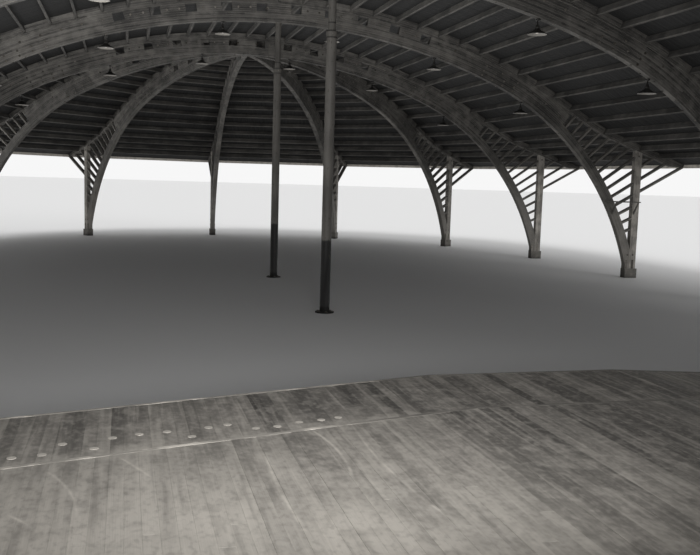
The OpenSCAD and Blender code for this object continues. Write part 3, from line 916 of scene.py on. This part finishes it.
ARCH_WOOD = timber("arch_wood", 0.135, 0.36, 0.48, foot_paling=0.3)
LEG_WOOD = timber("leg_wood", 0.39, 0.6, 0.66, stains=0.35, dust=0.3)
SLAT_WOOD = timber("slat_wood", 0.26, 0.4, 0.5, stains=0.35, dust=0.5)
PURLIN_WOOD = timber("purlin_wood", 0.18, 0.3, 0.42, stains=0.6)
# The roof boards' very dark tones are partly painted shade under the roof
ROOF_WOOD = timber("roof_wood", 0.03, 0.065, 0.1, stains=0.5)
SKIRT_WOOD = timber("skirt_wood", 0.26, 0.38, 0.5, stains=0.6)
EAVE_PAINT = paint_on_wood("eave_paint", 0.82)
STAGE_WOOD = stage_wood()
WORN_STRIP = worn_strip()
SHINGLES = roof_shingle()
IRON = iron()
COLUMN_PAINT = column_paint()
CONCRETE = concrete_block()
SHADE_DARK = enamel("shade_dark", 0.12)
SHADE_WHITE = enamel("shade_white", 0.46)
FILLER = enamel("plug_filler", 0.76, chips=0.4, roughness=0.6)
BULB_GLASS = enamel("bulb_glass", 0.86, chips=0.8, roughness=0.2)
JOIST_WOOD = node_timber("joist_wood", 0.2, 0.34, "X")
BEARER_WOOD = node_timber("bearer_wood", 0.2, 0.32, "Y")


def bent(start, stop, near, far, width, corner=CORNER):
    """Rings of a board bent along the arch, its faces near and far from the soffit. Far may vary."""
    count = max(1, math.ceil(abs(stop - start) / BEND_STEP))
    rings = []
    for i in range(count + 1):
        s = start + (stop - start) * i / count
        point, normal = soffit(s)
        outline = section(width, near, far(s) if callable(far) else far, corner)
        rings.append([point + Vector((0, y, 0)) + z * normal for y, z in outline])
    return rings


def add_chord(boards, start, stop):
    """Lower chord of bent laminations, each of boards with their joints apart from the next one's."""
    for j in range(round(CHORD_D / PLY)):
        near, far = j * PLY, (j + 1) * PLY - PLY_GAP
        for a, b in lengths(start, stop, *PLY_BOARDS):
            boards.loft(bent(a + JOINT, b - JOINT, near, far, sawn(ARCH_W), PLY_CORNER), True)


def web_stretches(start):
    """Stretches of web between its openings, from a station beside or across the crown outwards."""
    pitch = HOLE_PITCH * ARCH_R / (ARCH_R + CHORD_D)
    half = HOLE_W / 2 * ARCH_R / (ARCH_R + CHORD_D)
    holes = [(i + 0.5) * pitch for i in range(HOLES)]
    edges = [start] + [edge for hole in holes for edge in (hole - half, hole + half)] + [WEB_S]
    return list(zip(edges[::2], edges[1::2]))


def add_web(boards, start, stop, side):
    """Web of laminations that follow the lower chord, the outer ones starting where the chords part."""
    deepest = max(web_depth(start), web_depth(stop))
    plies = max(WEB_PLIES, math.ceil(deepest / PLY))
    for j in range(plies):
        a = start
        while a < stop and web_depth(a) < j * PLY + THIN:
            a += WEB_STEP
        if stop - a < SHORT:
            continue

        def far(s, j=j):
            room = web_depth(abs(s)) - JOINT
            return CHORD_D + (room if j == plies - 1 else min(room, (j + 1) * PLY - PLY_GAP))

        near = CHORD_D + j * PLY
        boards.loft(bent(side * a, side * stop, near, far, sawn(ARCH_W), PLY_CORNER), True)


def along_roof(start, stop, low, high, side=1):
    """Rings of a board of the upper chord along the roof line, from one distance from the axis to another
    and between two plumb distances from the line."""
    stops = [start] + [r for r, _ in ROOF_LINE if start + NEAR < r < stop - NEAR] + [stop]
    width = sawn(ARCH_W)
    rings = []
    for r in stops:
        z = height_on(ROOF_LINE, r)
        outline = section(width, z + low, z + high, CORNER)
        rings.append([Vector((side * r, y, h)) for y, h in outline])
    return rings


def add_notched_top(boards, drop, side):
    """Upper chord of an arch: one lamination under the purlins, and blocks of three between them."""
    for a, b in lengths(0, EAVE_R, *TOP_BOARDS):
        slope = math.atan2(height_on(ROOF_LINE, a) - height_on(ROOF_LINE, b), b - a)
        high = -(PURLIN_D + 2 * JOINT) / math.cos(slope)
        boards.loft(along_roof(a + JOINT, b - JOINT, -RAFTER_D, high, side), True)
    ply = (PURLIN_D - drop) / 3
    for (r0, z0), (r1, z1) in zip(ROOF_LINE, ROOF_LINE[1:]):
        along = Vector((side * (r1 - r0), 0, z1 - z0))
        first = PURLIN_T / 2 + NOTCH
        last = along.length - (first if r1 < EAVE_R - NEAR else 0)
        along.normalize()
        up = side * Vector((-along.z, 0, along.x))
        for j in range(3):
            middle = drop + (j + 0.5) * ply
            place = facing(Vector((side * r0, 0, z0)) + first * along - middle * up, up, along)
            boards.beam(place, last - first, sawn(ARCH_W), ply - PLY_GAP, PLY_CORNER)


def add_plain_top(boards, drop):
    """Upper chord of a rib, of four laminations that run through."""
    ply = (RAFTER_D - drop) / 4
    for j in range(4):
        low, high = -drop - (j + 1) * ply + JOINT, -drop - j * ply
        for a, b in lengths(0, EAVE_R, *TOP_BOARDS):
            boards.loft(along_roof(a + JOINT, b - JOINT, low, high), True)


def reach_of(origin, heading, inner):
    """Distance along a heading at which a slat meets the post, or the underside of its rafter."""
    def clear(reach):
        p = origin + reach * heading
        ceiling = rafter_under(p.x)
        if p.x > TAIL_R:
            ceiling = max(ceiling, TAIL_Z)
        return p.z < ceiling - GAP

    end = POST_IN - GAP if inner else EAVE_R
    return farthest(clear, (end - origin.x) / heading.x, 30)


def add_slat(boards, i, inner):
    """Slat that stands square on the back of the leg, up to the post or rafter, or on past the post."""
    angle = math.radians(SLAT_LOW + i * SLAT_PITCH)
    heading = Vector((math.cos(angle), 0, math.sin(angle)))
    up = Vector((-math.sin(angle), 0, math.cos(angle)))
    width = sawn(SLAT_W)
    first, last = [], []
    for y, h in section(width, -SLAT_T / 2, SLAT_T / 2, CORNER):
        origin = Vector((C2R, y, C2Z)) + h * up
        if inner:
            start = math.sqrt((BACK_R + GAP) ** 2 - h * h)
        else:
            start = (POST_OUT + GAP - origin.x) / heading.x
        first.append(origin + start * heading)
        last.append(origin + reach_of(origin, heading, inner) * heading)
    boards.loft([first, last], True)


def add_post(boards):
    """Post of two timbers side by side, cut to the slope of the rafter on top."""
    for low, high in ((POST_IN, POST_IN + POST_D / 2 - JOINT), (POST_IN + POST_D / 2, POST_OUT)):
        outline = section(ARCH_W, low, high, POST_CORNER)
        foot = [Vector((x, y, PLINTH_H + GAP)) for y, x in outline]
        head = [Vector((x, y, rafter_under(x) - GAP)) for y, x in outline]
        boards.loft([foot, head], True)


def bolts_along(metal, place, start, stop):
    """Bolts through the lower chord, in two rows by turns on the soffit."""
    s, row = start, BOLT_ROW
    while s < stop:
        point, normal = soffit(s)
        metal.bolt(place @ facing(point + Vector((0, row, 0)), -normal, (0, 1, 0)), SOFFIT_HEAD)
        s, row = s + BOLT_PITCH, -row


def face_bolts(metal, place, points):
    """Bolts at points (x, z) on both faces of an arch."""
    for x, z in points:
        for y in (-1, 1):
            point = Vector((x, ARCH_W / 2 * y, z))
            metal.bolt(place @ facing(point, (0, y, 0), (1, 0, 0)), FACE_HEAD)


def leg_bolts():
    """Points of the bolts that join the parts of a leg, as (x, z)."""
    points = [(POST_IN + x, z) for x, z in FOOT_BOLTS]
    bolted = [(TURN_S + s, depth) for s in HAUNCH_BOLTS for depth in (BOLT_EDGE, CHORD_D - BOLT_EDGE)]
    for start, stop in web_stretches(HOLE_W):
        count = max(2, round((stop - start) / WEB_BOLT_PITCH))
        depth = CHORD_D + WEB_BOLT_SHARE * web_depth(start)
        bolted += [(start + (i + 0.5) * (stop - start) / count, depth) for i in range(count)]
    for s, depth in bolted:
        point, normal = soffit(s)
        middle = point + depth * normal
        points.append((middle.x, middle.z))
    r = (POST_IN + POST_OUT) / 2
    return points + [(r, rafter_under(r) - 2 * BOLT_EDGE), (r, height_on(ROOF_LINE, r) - RAFTER_D / 2)]


LEG_BOLTS = leg_bolts()


def add_foot_straps(straps, place):
    """Steel straps from the plinth up both faces of a post and of the leg beside it."""
    for x in STRAPS_X:
        for y in (-1, 1):
            point = Vector((POST_IN + x, y * (ARCH_W + STRAP_T) / 2, PLINTH_H + GAP))
            turned = place @ facing(point, (0, y, 0), (0, 0, 1))
            straps.beam(turned, STRAP_L, STRAP_W, STRAP_T, corner=0.001, shade=0.4)


def build_arches():
    crown, *stretches = web_stretches(0.0)
    for i in range(1, ARCHES + 1):
        place = hall_leg(i, 1)
        chord, top = Boards(), Boards()
        add_chord(chord, -FOOT_S, FOOT_S)
        chord.cut_under(PLINTH_H + GAP)
        for side in (1, -1):
            chord.cut_out(POST_IN - GAP, side)
            add_notched_top(top, HIP_DROP if i in (1, ARCHES) else GAP, side)
            top.cut_out(EAVE_R - GAP, side)
            for start, stop in stretches:
                add_web(top, start, stop, side)
        ply = web_depth(0) / WEB_PLIES
        for j in range(WEB_PLIES):
            near = CHORD_D + j * ply
            top.loft(bent(-crown[1], crown[1], near, near + ply - JOINT, sawn(ARCH_W)), True)
        top.cut_under(TAIL_Z)
        chord.done(f"arch_{i}_chord", ARCH_WOOD, "arch_timber", [f"arch_{i}"], place)
        top.done(f"arch_{i}_top", ARCH_WOOD, "arch_timber", [f"arch_top_{i}"], place)


def build_ribs():
    for end in ENDS:
        for angle in RIB_ANGLES:
            chord, top = Boards(), Boards()
            add_chord(chord, 0, FOOT_S)
            chord.cut_under(PLINTH_H + GAP)
            chord.cut_out(POST_IN - GAP)
            add_plain_top(top, HIP_DROP)
            for start, stop in web_stretches(ARCH_W / 2):
                add_web(top, start, stop, 1)
            top.cut_out(EAVE_R - GAP)
            top.cut_under(TAIL_Z)
            for part, boards, nodes in (("chord", chord, "ribs"), ("top", top, "rib_tops")):
                for point, direction in rib_cuts(angle):
                    boards.cut(point, direction)
                name = f"rib_{end}_{angle}_{part}"
                boards.done(name, ARCH_WOOD, "arch_timber", [f"{nodes}_{end}"], end_plane(end, angle))


def all_legs():
    """Name of each group of legs, the CAD node of its slats, and the planes of its legs."""
    for side, name in SIDES:
        yield name, f"slats_{name}", [hall_leg(i, side) for i in range(1, ARCHES + 1)]
    for end in ENDS:
        yield end, f"rib_slats_{end}", [end_plane(end, a) for a in RIB_ANGLES]


def build_legs():
    straps = Boards()
    for name, slat_node, places in all_legs():
        slats, posts, metal = Boards(), Boards(), Fittings()
        for place in places:
            slats.at = posts.at = place
            for i in range(SLATS):
                add_slat(slats, i, True)
            for i in range(BRACE_FIRST, BRACE_FIRST + BRACES):
                add_slat(slats, i, False)
            add_post(posts)
            add_foot_straps(straps, place)
            bolts_along(metal, place, BOLTS_FROM, FOOT_S - BOLTS_END)
            face_bolts(metal, place, LEG_BOLTS)
        slats.done(f"leg_slats_{name}", SLAT_WOOD, "leg_timber", [slat_node])
        posts.done(f"leg_posts_{name}", LEG_WOOD, "leg_timber", [f"posts_{name}"])
        metal.done(f"arch_bolts_{name}", IRON, "column_steel")
    straps.done("foot_straps", IRON, "column_steel")


def deck_top(line, s):
    """Point on the boards over a roof line, as (distance, height), s metres down it from the ridge."""
    k = min(int(s / PURLIN_PITCH), PURLINS)
    length = PURLIN_PITCH if k < PURLINS else ROOF_S - PURLINS * PURLIN_PITCH
    share = (s - k * PURLIN_PITCH) / length
    (r0, z0), (r1, z1) = line[k], line[k + 1]
    return r0 + (r1 - r0) * share, z0 + (z1 - z0) * share + BOARD_RISE


def facet_half(x, inset):
    """Half the width of a half-dome's facet at a distance from the hub, less an inset at the hips."""
    return x * math.tan(FACET) - inset / math.cos(FACET)


def hall_limit(x):
    return HALL - EDGE_GAP


def facet_limit(x):
    return facet_half(x, EDGE_GAP)


def all_roofs():
    """Name of each side of the roof, its line, its half width, and the planes of its parts."""
    for side, name in SIDES:
        yield name, ROOF_LINE, hall_limit, [Matrix.Rotation(0 if side > 0 else math.pi, 4, "Z")]
    for end in ENDS:
        yield end, FACET_LINE, facet_limit, [end_plane(end, a) for a in FACET_ANGLES]


def purlin_ring(line, k, edge):
    """End of a purlin under a roof line, cut along an edge, a function of the distance from the axis."""
    slope = slope_at(line, k)
    r, z = line[k]
    ring = []
    for across, up in section(PURLIN_T, -PURLIN_D, 0, PURLIN_CORNER):
        x = r + across * math.cos(slope) + up * math.sin(slope)
        drop = PURLIN_CLEAR + across * math.sin(slope) - up * math.cos(slope)
        ring.append(Vector((x, edge(x), z - drop)))
    return ring


def build_purlins():
    bays = [-HALL - ARCH_W / 2, -BAY / 2, BAY / 2, HALL + ARCH_W / 2]
    across_hall = [(fixed(a + JOINT), fixed(b - JOINT)) for a, b in zip(bays, bays[1:])]
    across_facet = [[lambda x, sign=sign: sign * facet_half(x, ARCH_W / 2 + GAP) for sign in (-1, 1)]]
    for name, line, _, places in all_roofs():
        boards = Boards()
        for boards.at in places:
            for k in range(0 if name == "right" else 1, PURLINS + 1):
                for span in across_hall if line is ROOF_LINE else across_facet:
                    boards.loft([purlin_ring(line, k, edge) for edge in span], True)
        nodes = [f"purlins_{name}"] + (["ridge_purlin"] if name == "right" else [])
        boards.done(f"purlins_{name}_timbers", PURLIN_WOOD, "roof_timber", nodes)


def build_decks():
    """Boards up the slope, in lengths that end on purlins, with narrow gaps between them."""
    for name, line, limit, places in all_roofs():
        for part, place in enumerate(places, 1):
            boards = Boards()
            widest = limit(line[-1][0])
            count = round(2 * widest / BOARD_W)
            pitch = 2 * widest / count
            for i in range(count):
                y0 = -widest + i * pitch + DECK_GAP / 2
                y1 = y0 + pitch - DECK_GAP
                nearest = 0 if y0 < 0 < y1 else min(abs(y0), abs(y1))
                k = max(next(k for k, (r, _) in enumerate(line) if limit(r) > nearest) - 1, 0)
                while k < PURLINS + 1:
                    stop = min(k + rng.randint(*DECK_SPANS), PURLINS + 1)
                    if PURLINS + 1 - stop < 2:
                        stop = PURLINS + 1
                    rings = []
                    for j in range(k, stop + 1):
                        r, z = line[j]
                        r += JOINT if j == k else -JOINT if j == stop else 0
                        rings.append(flat_end(r, y0, y1, z, z + BOARD_RISE))
                    boards.loft(rings)
                    k = stop
            if line is FACET_LINE:
                for sign in (-1, 1):
                    boards.cut((0, 0, 0), (-math.sin(FACET), sign * math.cos(FACET), 0))
            else:
                boards.cut((EDGE_GAP, 0, 0), (-1, 0, 0))
            label = f"deck_{name}_{part}" if len(places) > 1 else f"deck_{name}"
            boards.done(label, ROOF_WOOD, "roof_boards", [f"roof_{name}"], place)


def build_shingles():
    """Courses of wooden shingles from the eave up, each course lapping over the one below."""
    for name, line, limit, places in all_roofs():
        boards = Boards()
        for boards.at in places:
            for course in range(COURSES):
                s = ROOF_S - course * COURSE_PITCH
                r0, z0 = deck_top(line, s)
                r1, z1 = deck_top(line, max(s - COURSE_PITCH - SHINGLE_LAP, RIDGE_CLEAR))
                wide, narrow = limit(r0), limit(r1)
                y = -wide
                while y < wide - SHINGLE_LAP:
                    stop = min(y + rng.uniform(*SHINGLE_W), wide)
                    a, b = y + SHINGLE_GAP / 2, stop - SHINGLE_GAP / 2
                    c, d = max(a, -narrow), min(b, narrow)
                    if d - c < SHINGLE_LEAST:
                        c, d = (a, a + SHINGLE_LEAST) if c <= a else (d - SHINGLE_LEAST, d)
                        c, d = max(c, -narrow), max(d, SHINGLE_LEAST - narrow)
                    butt = z0 + SHINGLE_BUTT - rng.uniform(0, SHINGLE_UNEVEN)
                    boards.loft([
                        flat_end(r0, a, b, z0 + SHINGLE_HEAD, butt),
                        flat_end(r1, c, d, z1, z1 + SHINGLE_HEAD),
                    ])
                    y = stop
        boards.done(f"shingles_{name}", SHINGLES, "roof_boards")


def add_hip_caps(boards, angle):
    """Pairs of shingles up the hip at an angle from the last arch, over the courses on both sides of it."""
    sides = [sign for sign in (-1, 1) if (angle, sign) not in ((0, -1), (180, 1))]
    s = ROOF_S
    while s > HUB_CAP:
        r0, z0 = deck_top(ROOF_LINE, s)
        r1, z1 = deck_top(ROOF_LINE, s - SHINGLE_PITCH)
        fall = HIP_CAP * math.tan(FACET) * (z1 - z0) / (r0 - r1)
        low, high = z0 + SHINGLE_BUTT + HIP_CLEAR, z1 + SHINGLE_HEAD + HIP_CLEAR
        for sign in sides:
            boards.loft([
                flat_end(r0, 0, sign * HIP_CAP, low, low + HIP_BUTT, fall),
                flat_end(r1, 0, sign * HIP_CAP, high, high + HIP_HEAD, fall),
            ])
        s -= SHINGLE_PITCH


def build_ridge():
    """Boards along the ridge, shingles over the hips and a low metal cap over each hub."""
    boards, metal = Boards(), Fittings()
    top = CROWN_Z + CROWN_D + DECK_RISE
    thick = DECK_RISE - BOARD_RISE
    slope = slope_at(ROOF_LINE, 1) / 2
    for side in (1, -1):
        for a, b in lengths(-HALL, HALL, *RIDGE_BOARDS):
            point = side * (RIDGE_BOARD / 2 + EDGE_GAP), a + JOINT, top - thick / 2 - RIDGE_GAP
            turn = Matrix.Rotation(math.pi / 2, 4, "Z") @ Matrix.Rotation(side * slope, 4, "X")
            place = Matrix.Translation(point) @ turn
            boards.beam(place, b - a - 2 * JOINT, RIDGE_BOARD, thick - 2 * RIDGE_GAP, EDGE_CORNER)
    rim = height_on(ROOF_LINE, HUB_CAP) + BOARD_RISE + HUB_CLEAR
    profile = [(HUB_CAP, rim - HUB_RIM), (HUB_CAP, rim)] + [(r, top - drop) for r, drop in HUB_TOP]
    for end in ENDS:
        for angle in [k * RIB_STEP for k in range(RIBS + 2)]:
            boards.at = end_plane(end, angle)
            add_hip_caps(boards, angle)
        metal.turned(end_plane(end, 0), profile, 24)
    boards.done("ridge_and_hip_caps", SHINGLES, "roof_boards")
    metal.done("hub_caps", IRON, "column_steel")


def fascia_ring(reach, edge):
    """End of an eave board that stands at a distance from the axis, cut along an edge."""
    top = ROOF_LINE[-1][1] + DECK_RISE
    outline = section(FASCIA_T, top - FASCIA_D, top, EDGE_CORNER)
    return [Vector((reach + GAP + FASCIA_T / 2 + x, edge(reach + GAP + x), z)) for x, z in outline]


def build_fascias():
    for name, line, limit, places in all_roofs():
        boards = Boards()
        reach = line[-1][0]
        for boards.at in places:
            for span in spans(lambda x: -limit(x), limit, reach, JOINT, *TOP_BOARDS):
                boards.loft([fascia_ring(reach, edge) for edge in span], True)
        boards.done(f"fascia_{name}_boards", EAVE_PAINT, "eave_paint", [f"fascia_{name}"])


def stage_corners():
    """Corners of the stage in plan, seen from the hub: from the middle of its front round its back."""
    step = math.radians(RIB_STEP)
    back = STAGE_R * (1 - math.cos(step))
    rise = STAGE_FRONT + (STAGE_R - STAGE_MID / 2) * STAGE_RISE
    t = rise / (STAGE_R * math.sin(step) + back * STAGE_RISE)
    side = [(STAGE_MID / 2, STAGE_FRONT), (STAGE_R - t * back, t * STAGE_R * math.sin(step))]
    side += [(STAGE_R * math.cos(k * step), STAGE_R * math.sin(k * step)) for k in (1, 2)]
    return side + [(0, STAGE_R)] + [(-x, y) for x, y in reversed(side)]


def stage_front(x):
    return STAGE_FRONT + max(0, abs(x) - STAGE_MID / 2) * STAGE_RISE


def stage_back(x):
    flat = STAGE_R * math.cos(FACET)
    return min((flat - abs(x) * math.cos(a)) / math.sin(a) for a in (FACET, 3 * FACET, 5 * FACET))


def floor_strip(boards, x0, x1, first, last):
    """Floor strip from one line across the stage to another, in boards of chance lengths."""
    middle = (x0 + x1) / 2
    if last(middle) - first(middle) < SHORT:
        return
    pieces = spans(first, last, middle, JOINT / 2, *FLOOR_BOARDS)
    top = STAGE_H - rng.uniform(0, FLOOR_UNEVEN)
    outline = section(x1 - x0, STAGE_H - FLOOR_T, top, FLOOR_CORNER)
    for span in pieces:
        rings = [[Vector((middle + w, edge(middle + w), z)) for w, z in outline] for edge in span]
        boards.loft(rings, True)


def edge_strip(boards, offset, width):
    """Strip that runs across the stage a set distance behind its front."""
    far = STAGE_R
    while stage_back(far) < stage_front(far) + offset + width + NEAR:
        far -= 0.005
    outline = section(width, STAGE_H - FLOOR_T, STAGE_H, 0.001)
    middle = offset + width / 2
    bends = -far, -STAGE_MID / 2, STAGE_MID / 2, far
    for start, stop in zip(bends, bends[1:]):
        for a, b in lengths(start, stop, *EDGE_BOARDS):
            stops = a + JOINT / 4, b - JOINT / 4
            rings = [[Vector((x, stage_front(x) + middle + w, z)) for w, z in outline] for x in stops]
            boards.loft(rings, True)


def build_stage():
    place = end_plane("front", 0)
    seam = APRON_D + SEAM_W / 2
    floor, apron, edges = Boards(), Boards(), Boards()
    count = math.floor((STAGE_R - 0.1) / FLOOR_BOARD)
    for i in range(-count, count):
        strip = i * FLOOR_BOARD + FLOOR_GAP / 2, (i + 1) * FLOOR_BOARD - FLOOR_GAP / 2
        floor_strip(floor, *strip, lambda x: stage_front(x) + seam + FLOOR_GAP, stage_back)
        floor_strip(
            apron, *strip, lambda x: stage_front(x) + NOSING_W + FLOOR_GAP,
            lambda x: min(stage_front(x) + seam - SEAM_W - FLOOR_GAP, stage_back(x)),
        )
    edge_strip(edges, 0, NOSING_W)
    edge_strip(edges, seam - SEAM_W, SEAM_W)
    floor.done("stage_floor_strips", STAGE_WOOD, "stage_boards", ["stage_floor"], place)
    apron.done("stage_apron_strips", STAGE_WOOD, "stage_boards", ["stage_apron"], place)
    edges.done("stage_edge_strips", WORN_STRIP, "stage_boards", (), place)


def build_skirt():
    """Rows of boards round the stage, which meet at its corners."""
    boards = Boards()
    corners = stage_corners()
    row = (STAGE_H - FLOOR_T - GAP) / SKIRT_ROWS
    end = SKIRT_T + 0.001
    upright = Matrix.Rotation(math.pi / 2, 4, "X")
    for (x0, y0), (x1, y1) in zip(corners, corners[1:] + corners[:1]):
        along = Vector((x1 - x0, y1 - y0, 0))
        out = Vector((along.y, -along.x, 0)).normalized()
        for j in range(SKIRT_ROWS):
            for a, b in lengths(end, along.length - end, *SKIRT_BOARDS):
                point = Vector((x0, y0, (j + 0.5) * row)) + (a + JOINT / 2) * along.normalized()
                turned = facing(point - SKIRT_T / 2 * out, out, along) @ upright
                width = SKIRT_T - rng.uniform(0, SKIRT_UNEVEN)
                boards.beam(turned, b - a - JOINT, width, row - SKIRT_GAP, EDGE_CORNER)
    boards.done("stage_skirt_boards", SKIRT_WOOD, "leg_timber", ["stage_skirt"], end_plane("front", 0))


def build_plugs():
    """Pale round plugs let into the apron, in two rough rows in front of the seam."""
    plugs = Fittings()
    across, forth = PLUG_STRAY
    profile = [(PLUG_R, -0.002), (PLUG_R, 0.0003), (0.96 * PLUG_R, 0.0005)]
    for i, row in enumerate(PLUG_ORDER):
        x = PLUG_FIRST + i * PLUG_PITCH + rng.uniform(-across, across)
        y = stage_front(x) + APRON_D - PLUG_ROWS[row] - rng.uniform(-forth, forth)
        plugs.turned(Matrix.Translation((x, -HALL - y, STAGE_H)), profile, 20)
    plugs.done("floor_plugs", FILLER, "stage_boards")


def build_shelf():
    """Shelf of two boards on the leg of the third arch, on two slanting struts."""
    boards = Boards()
    boards.at = hall_leg(3, 1)
    inner = soffit_r(SHELF_Z)
    face = -ARCH_W / 2 - GAP
    under = SHELF_Z - SHELF_T
    for j in range(2):
        y, inset = face - (j + 0.5) * SHELF_D / 2, SHELF_STEP * j
        place = Matrix.Translation((inner + inset, y, SHELF_Z - SHELF_T / 2))
        boards.beam(place, POST_IN + SHELF_OVER - inner - 2 * inset, SHELF_D / 2 - CORNER, SHELF_T)
    low, tip = under - STRUT_DROP, face + SHELF_T - SHELF_D
    strut = (face, low), (tip, under), (tip + SHELF_T, under), (face, low + 2 * SHELF_T)
    for x in (soffit_r(low) + SHELF_T, POST_IN + SHELF_T):
        boards.loft([[Vector((x + shift, y, z)) for y, z in strut] for shift in (0, SHELF_T)])
    boards.done("leg_shelf_boards", SKIRT_WOOD, "leg_timber", ["leg_shelf"])


def build_lamps():
    """Lamps under the arches: a dark shade that is pale inside, with a bulb, a socket, a stem and a box."""
    rim = GAP - LAMP_DROP
    neck = rim + SHADE_H
    outside = [(SHADE_D * r, rim + SHADE_H * z) for r, z in SHADE_SKIN]
    lining = [(r - SHADE_T, z - (SHADE_T if k else 0)) for k, (r, z) in enumerate(outside)]
    paint = [1] * len(lining) + [0] * len(outside)
    wide, narrow = SOCKET_D / 2, 0.44 * SOCKET_D
    socket = [
        (wide, neck - 0.004), (wide, neck + 0.02), (narrow, neck + 0.024),
        (narrow, neck + SOCKET_H - 0.012), (STEM_R, neck + SOCKET_H), (STEM_R, -0.03),
    ]
    box = [(0.03, -0.035), (0.42 * BOX_D, -0.033), (BOX_D / 2, -0.026), (BOX_D / 2, 0)]
    bulb = [(r, rim + z) for r, z in BULB]
    shades, fittings, bulbs = Fittings(), Fittings(), Fittings()
    for i in range(1, ARCHES + 1):
        for r in LAMP_R:
            for side in (1, -1):
                hang = soffit_z(r + BOX_D / 2) - GAP
                place = hall_leg(i, side) @ Matrix.Translation((r, 0, hang))
                shades.turned(place, lining[::-1] + outside, 40, True, paint)
                fittings.turned(place, socket, 20)
                fittings.turned(place, box, 24)
                bulbs.turned(place, bulb, 20)
    shades.done("lamp_shades", SHADE_DARK, "lamp_enamel", ["lamps"]).data.materials.append(SHADE_WHITE)
    fittings.done("lamp_sockets", SHADE_DARK, "lamp_enamel")
    bulbs.done("lamp_bulbs", BULB_GLASS, "lamp_enamel")


def build_column_bolts():
    """Anchor bolts round the foot of each column and set screws in its collar."""
    metal = Fittings()
    for i in (2, 3):
        place = hall_leg(i, 1)
        for k in range(6):
            a = (k + 0.5) * math.pi / 3
            foot = Vector((FLANGE_BOLTS * math.cos(a), FLANGE_BOLTS * math.sin(a), FLANGE_T))
            metal.bolt(place @ Matrix.Translation(foot), FOOT_HEAD)
        for k in range(3):
            a = (k + 0.25) * 2 * math.pi / 3
            out = Vector((math.cos(a), math.sin(a), 0))
            point = Vector((0, 0, NECK_Z - SCREW_DROP)) + (PIPE_D / 2 + COLLAR_T) * out
            metal.bolt(place @ facing(point, out, (0, 0, 1)), SCREW_HEAD)
    metal.done("column_bolts", IRON, "column_steel")


def dress_nodes():
    """Materials and softened edges of the CAD nodes that show as they are."""
    finishes = {
        "plinths_hall": CONCRETE, "plinths_front": CONCRETE, "plinths_back": CONCRETE,
        "column_1": COLUMN_PAINT, "column_2": COLUMN_PAINT,
        "stage_joists": JOIST_WOOD, "stage_bearers": BEARER_WOOD,
    }
    for name, material in finishes.items():
        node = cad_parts[name]
        for slot in node.material_slots:
            slot.material = material
        soften = node.modifiers.new("edges", "BEVEL")
        soften.width = BLOCK_EDGE if material is CONCRETE else MEMBER_EDGE
        soften.segments = 2
        soften.limit_method = "ANGLE"
        soften.angle_limit = math.radians(40)


def studio_lamp(name, kind, energy, place, aim):
    """A studio lamp at a place, turned to an aim, that the camera doesn't see."""
    data = bpy.data.lights.new(name, kind)
    data.energy = energy
    lamp = show(name, data)
    lamp.location = place
    lamp.rotation_euler = (Vector(aim) - Vector(place)).to_track_quat("-Z", "Y").to_euler()
    lamp.visible_camera = False
    return data


def build_studio():
    """Pale floor to the horizon, two soft suns and wide lamps low under the roof."""
    ground = bmesh.new()
    bmesh.ops.create_circle(ground, cap_ends=True, radius=GROUND_R, segments=96)
    floor = skin(ground, "studio_floor", plain_ground())
    floor.location = (0, 0, -0.001)
    for name, energy, place, aim in SUNS:
        studio_lamp(name, "SUN", energy, place, aim).angle = math.radians(SUN_WIDTH)
    for name, energy, place, aim, width, depth, spread in PANELS:
        panel = studio_lamp(name, "AREA", energy, place, aim)
        panel.shape = "RECTANGLE"
        panel.size, panel.size_y = width, depth
        panel.spread = math.radians(spread)


def build_surroundings():
    """White surroundings that the camera and reflections see brighter than they light."""
    world = bpy.data.worlds.new("studio")
    bpy.context.scene.world = world
    world.use_nodes = True
    nodes, link = world.node_tree.nodes, world.node_tree.links.new
    sky = nodes["Background"]
    sky.inputs["Color"].default_value = (1, 1, 1, 1)
    path = nodes.new("ShaderNodeLightPath")
    seen = path.outputs["Is Camera Ray"]
    for ray in ("Is Glossy Ray", "Is Transmission Ray"):
        either = nodes.new("ShaderNodeMath")
        either.operation = "MAXIMUM"
        link(seen, either.inputs[0])
        link(path.outputs[ray], either.inputs[1])
        seen = either.outputs[0]
    level = nodes.new("ShaderNodeMapRange")
    level.inputs["To Min"].default_value = SKY_LIGHT
    level.inputs["To Max"].default_value = SKY_SEEN
    link(seen, level.inputs["Value"])
    link(level.outputs[0], sky.inputs["Strength"])


def build_camera():
    """Camera of the photograph, from the fit of the building to it."""
    yaw, pitch, roll = (math.radians(a) for a in CAMERA_TURNS)
    ahead = Vector((math.sin(yaw) * math.cos(pitch), math.cos(yaw) * math.cos(pitch), -math.sin(pitch)))
    level = Vector((math.cos(yaw), -math.sin(yaw), 0))
    above = level.cross(ahead)
    right = math.cos(roll) * level + math.sin(roll) * above
    up = math.cos(roll) * above - math.sin(roll) * level
    data = bpy.data.cameras.new("camera")
    data.lens = CAMERA_LENS
    data.sensor_width = 36
    data.clip_end = 2 * GROUND_R
    camera = show("camera", data)
    camera.matrix_world = Matrix.Translation(CAMERA_AT) @ axes(right, up, -ahead)
    bpy.context.scene.camera = camera


build_camera()
build_arches()
build_ribs()
build_legs()
build_purlins()
build_decks()
build_shingles()
build_ridge()
build_fascias()
build_stage()
build_skirt()
build_plugs()
build_shelf()
build_lamps()
build_column_bolts()
dress_nodes()
build_studio()
build_surroundings()
bpy.context.scene.view_settings.view_transform = "Standard"
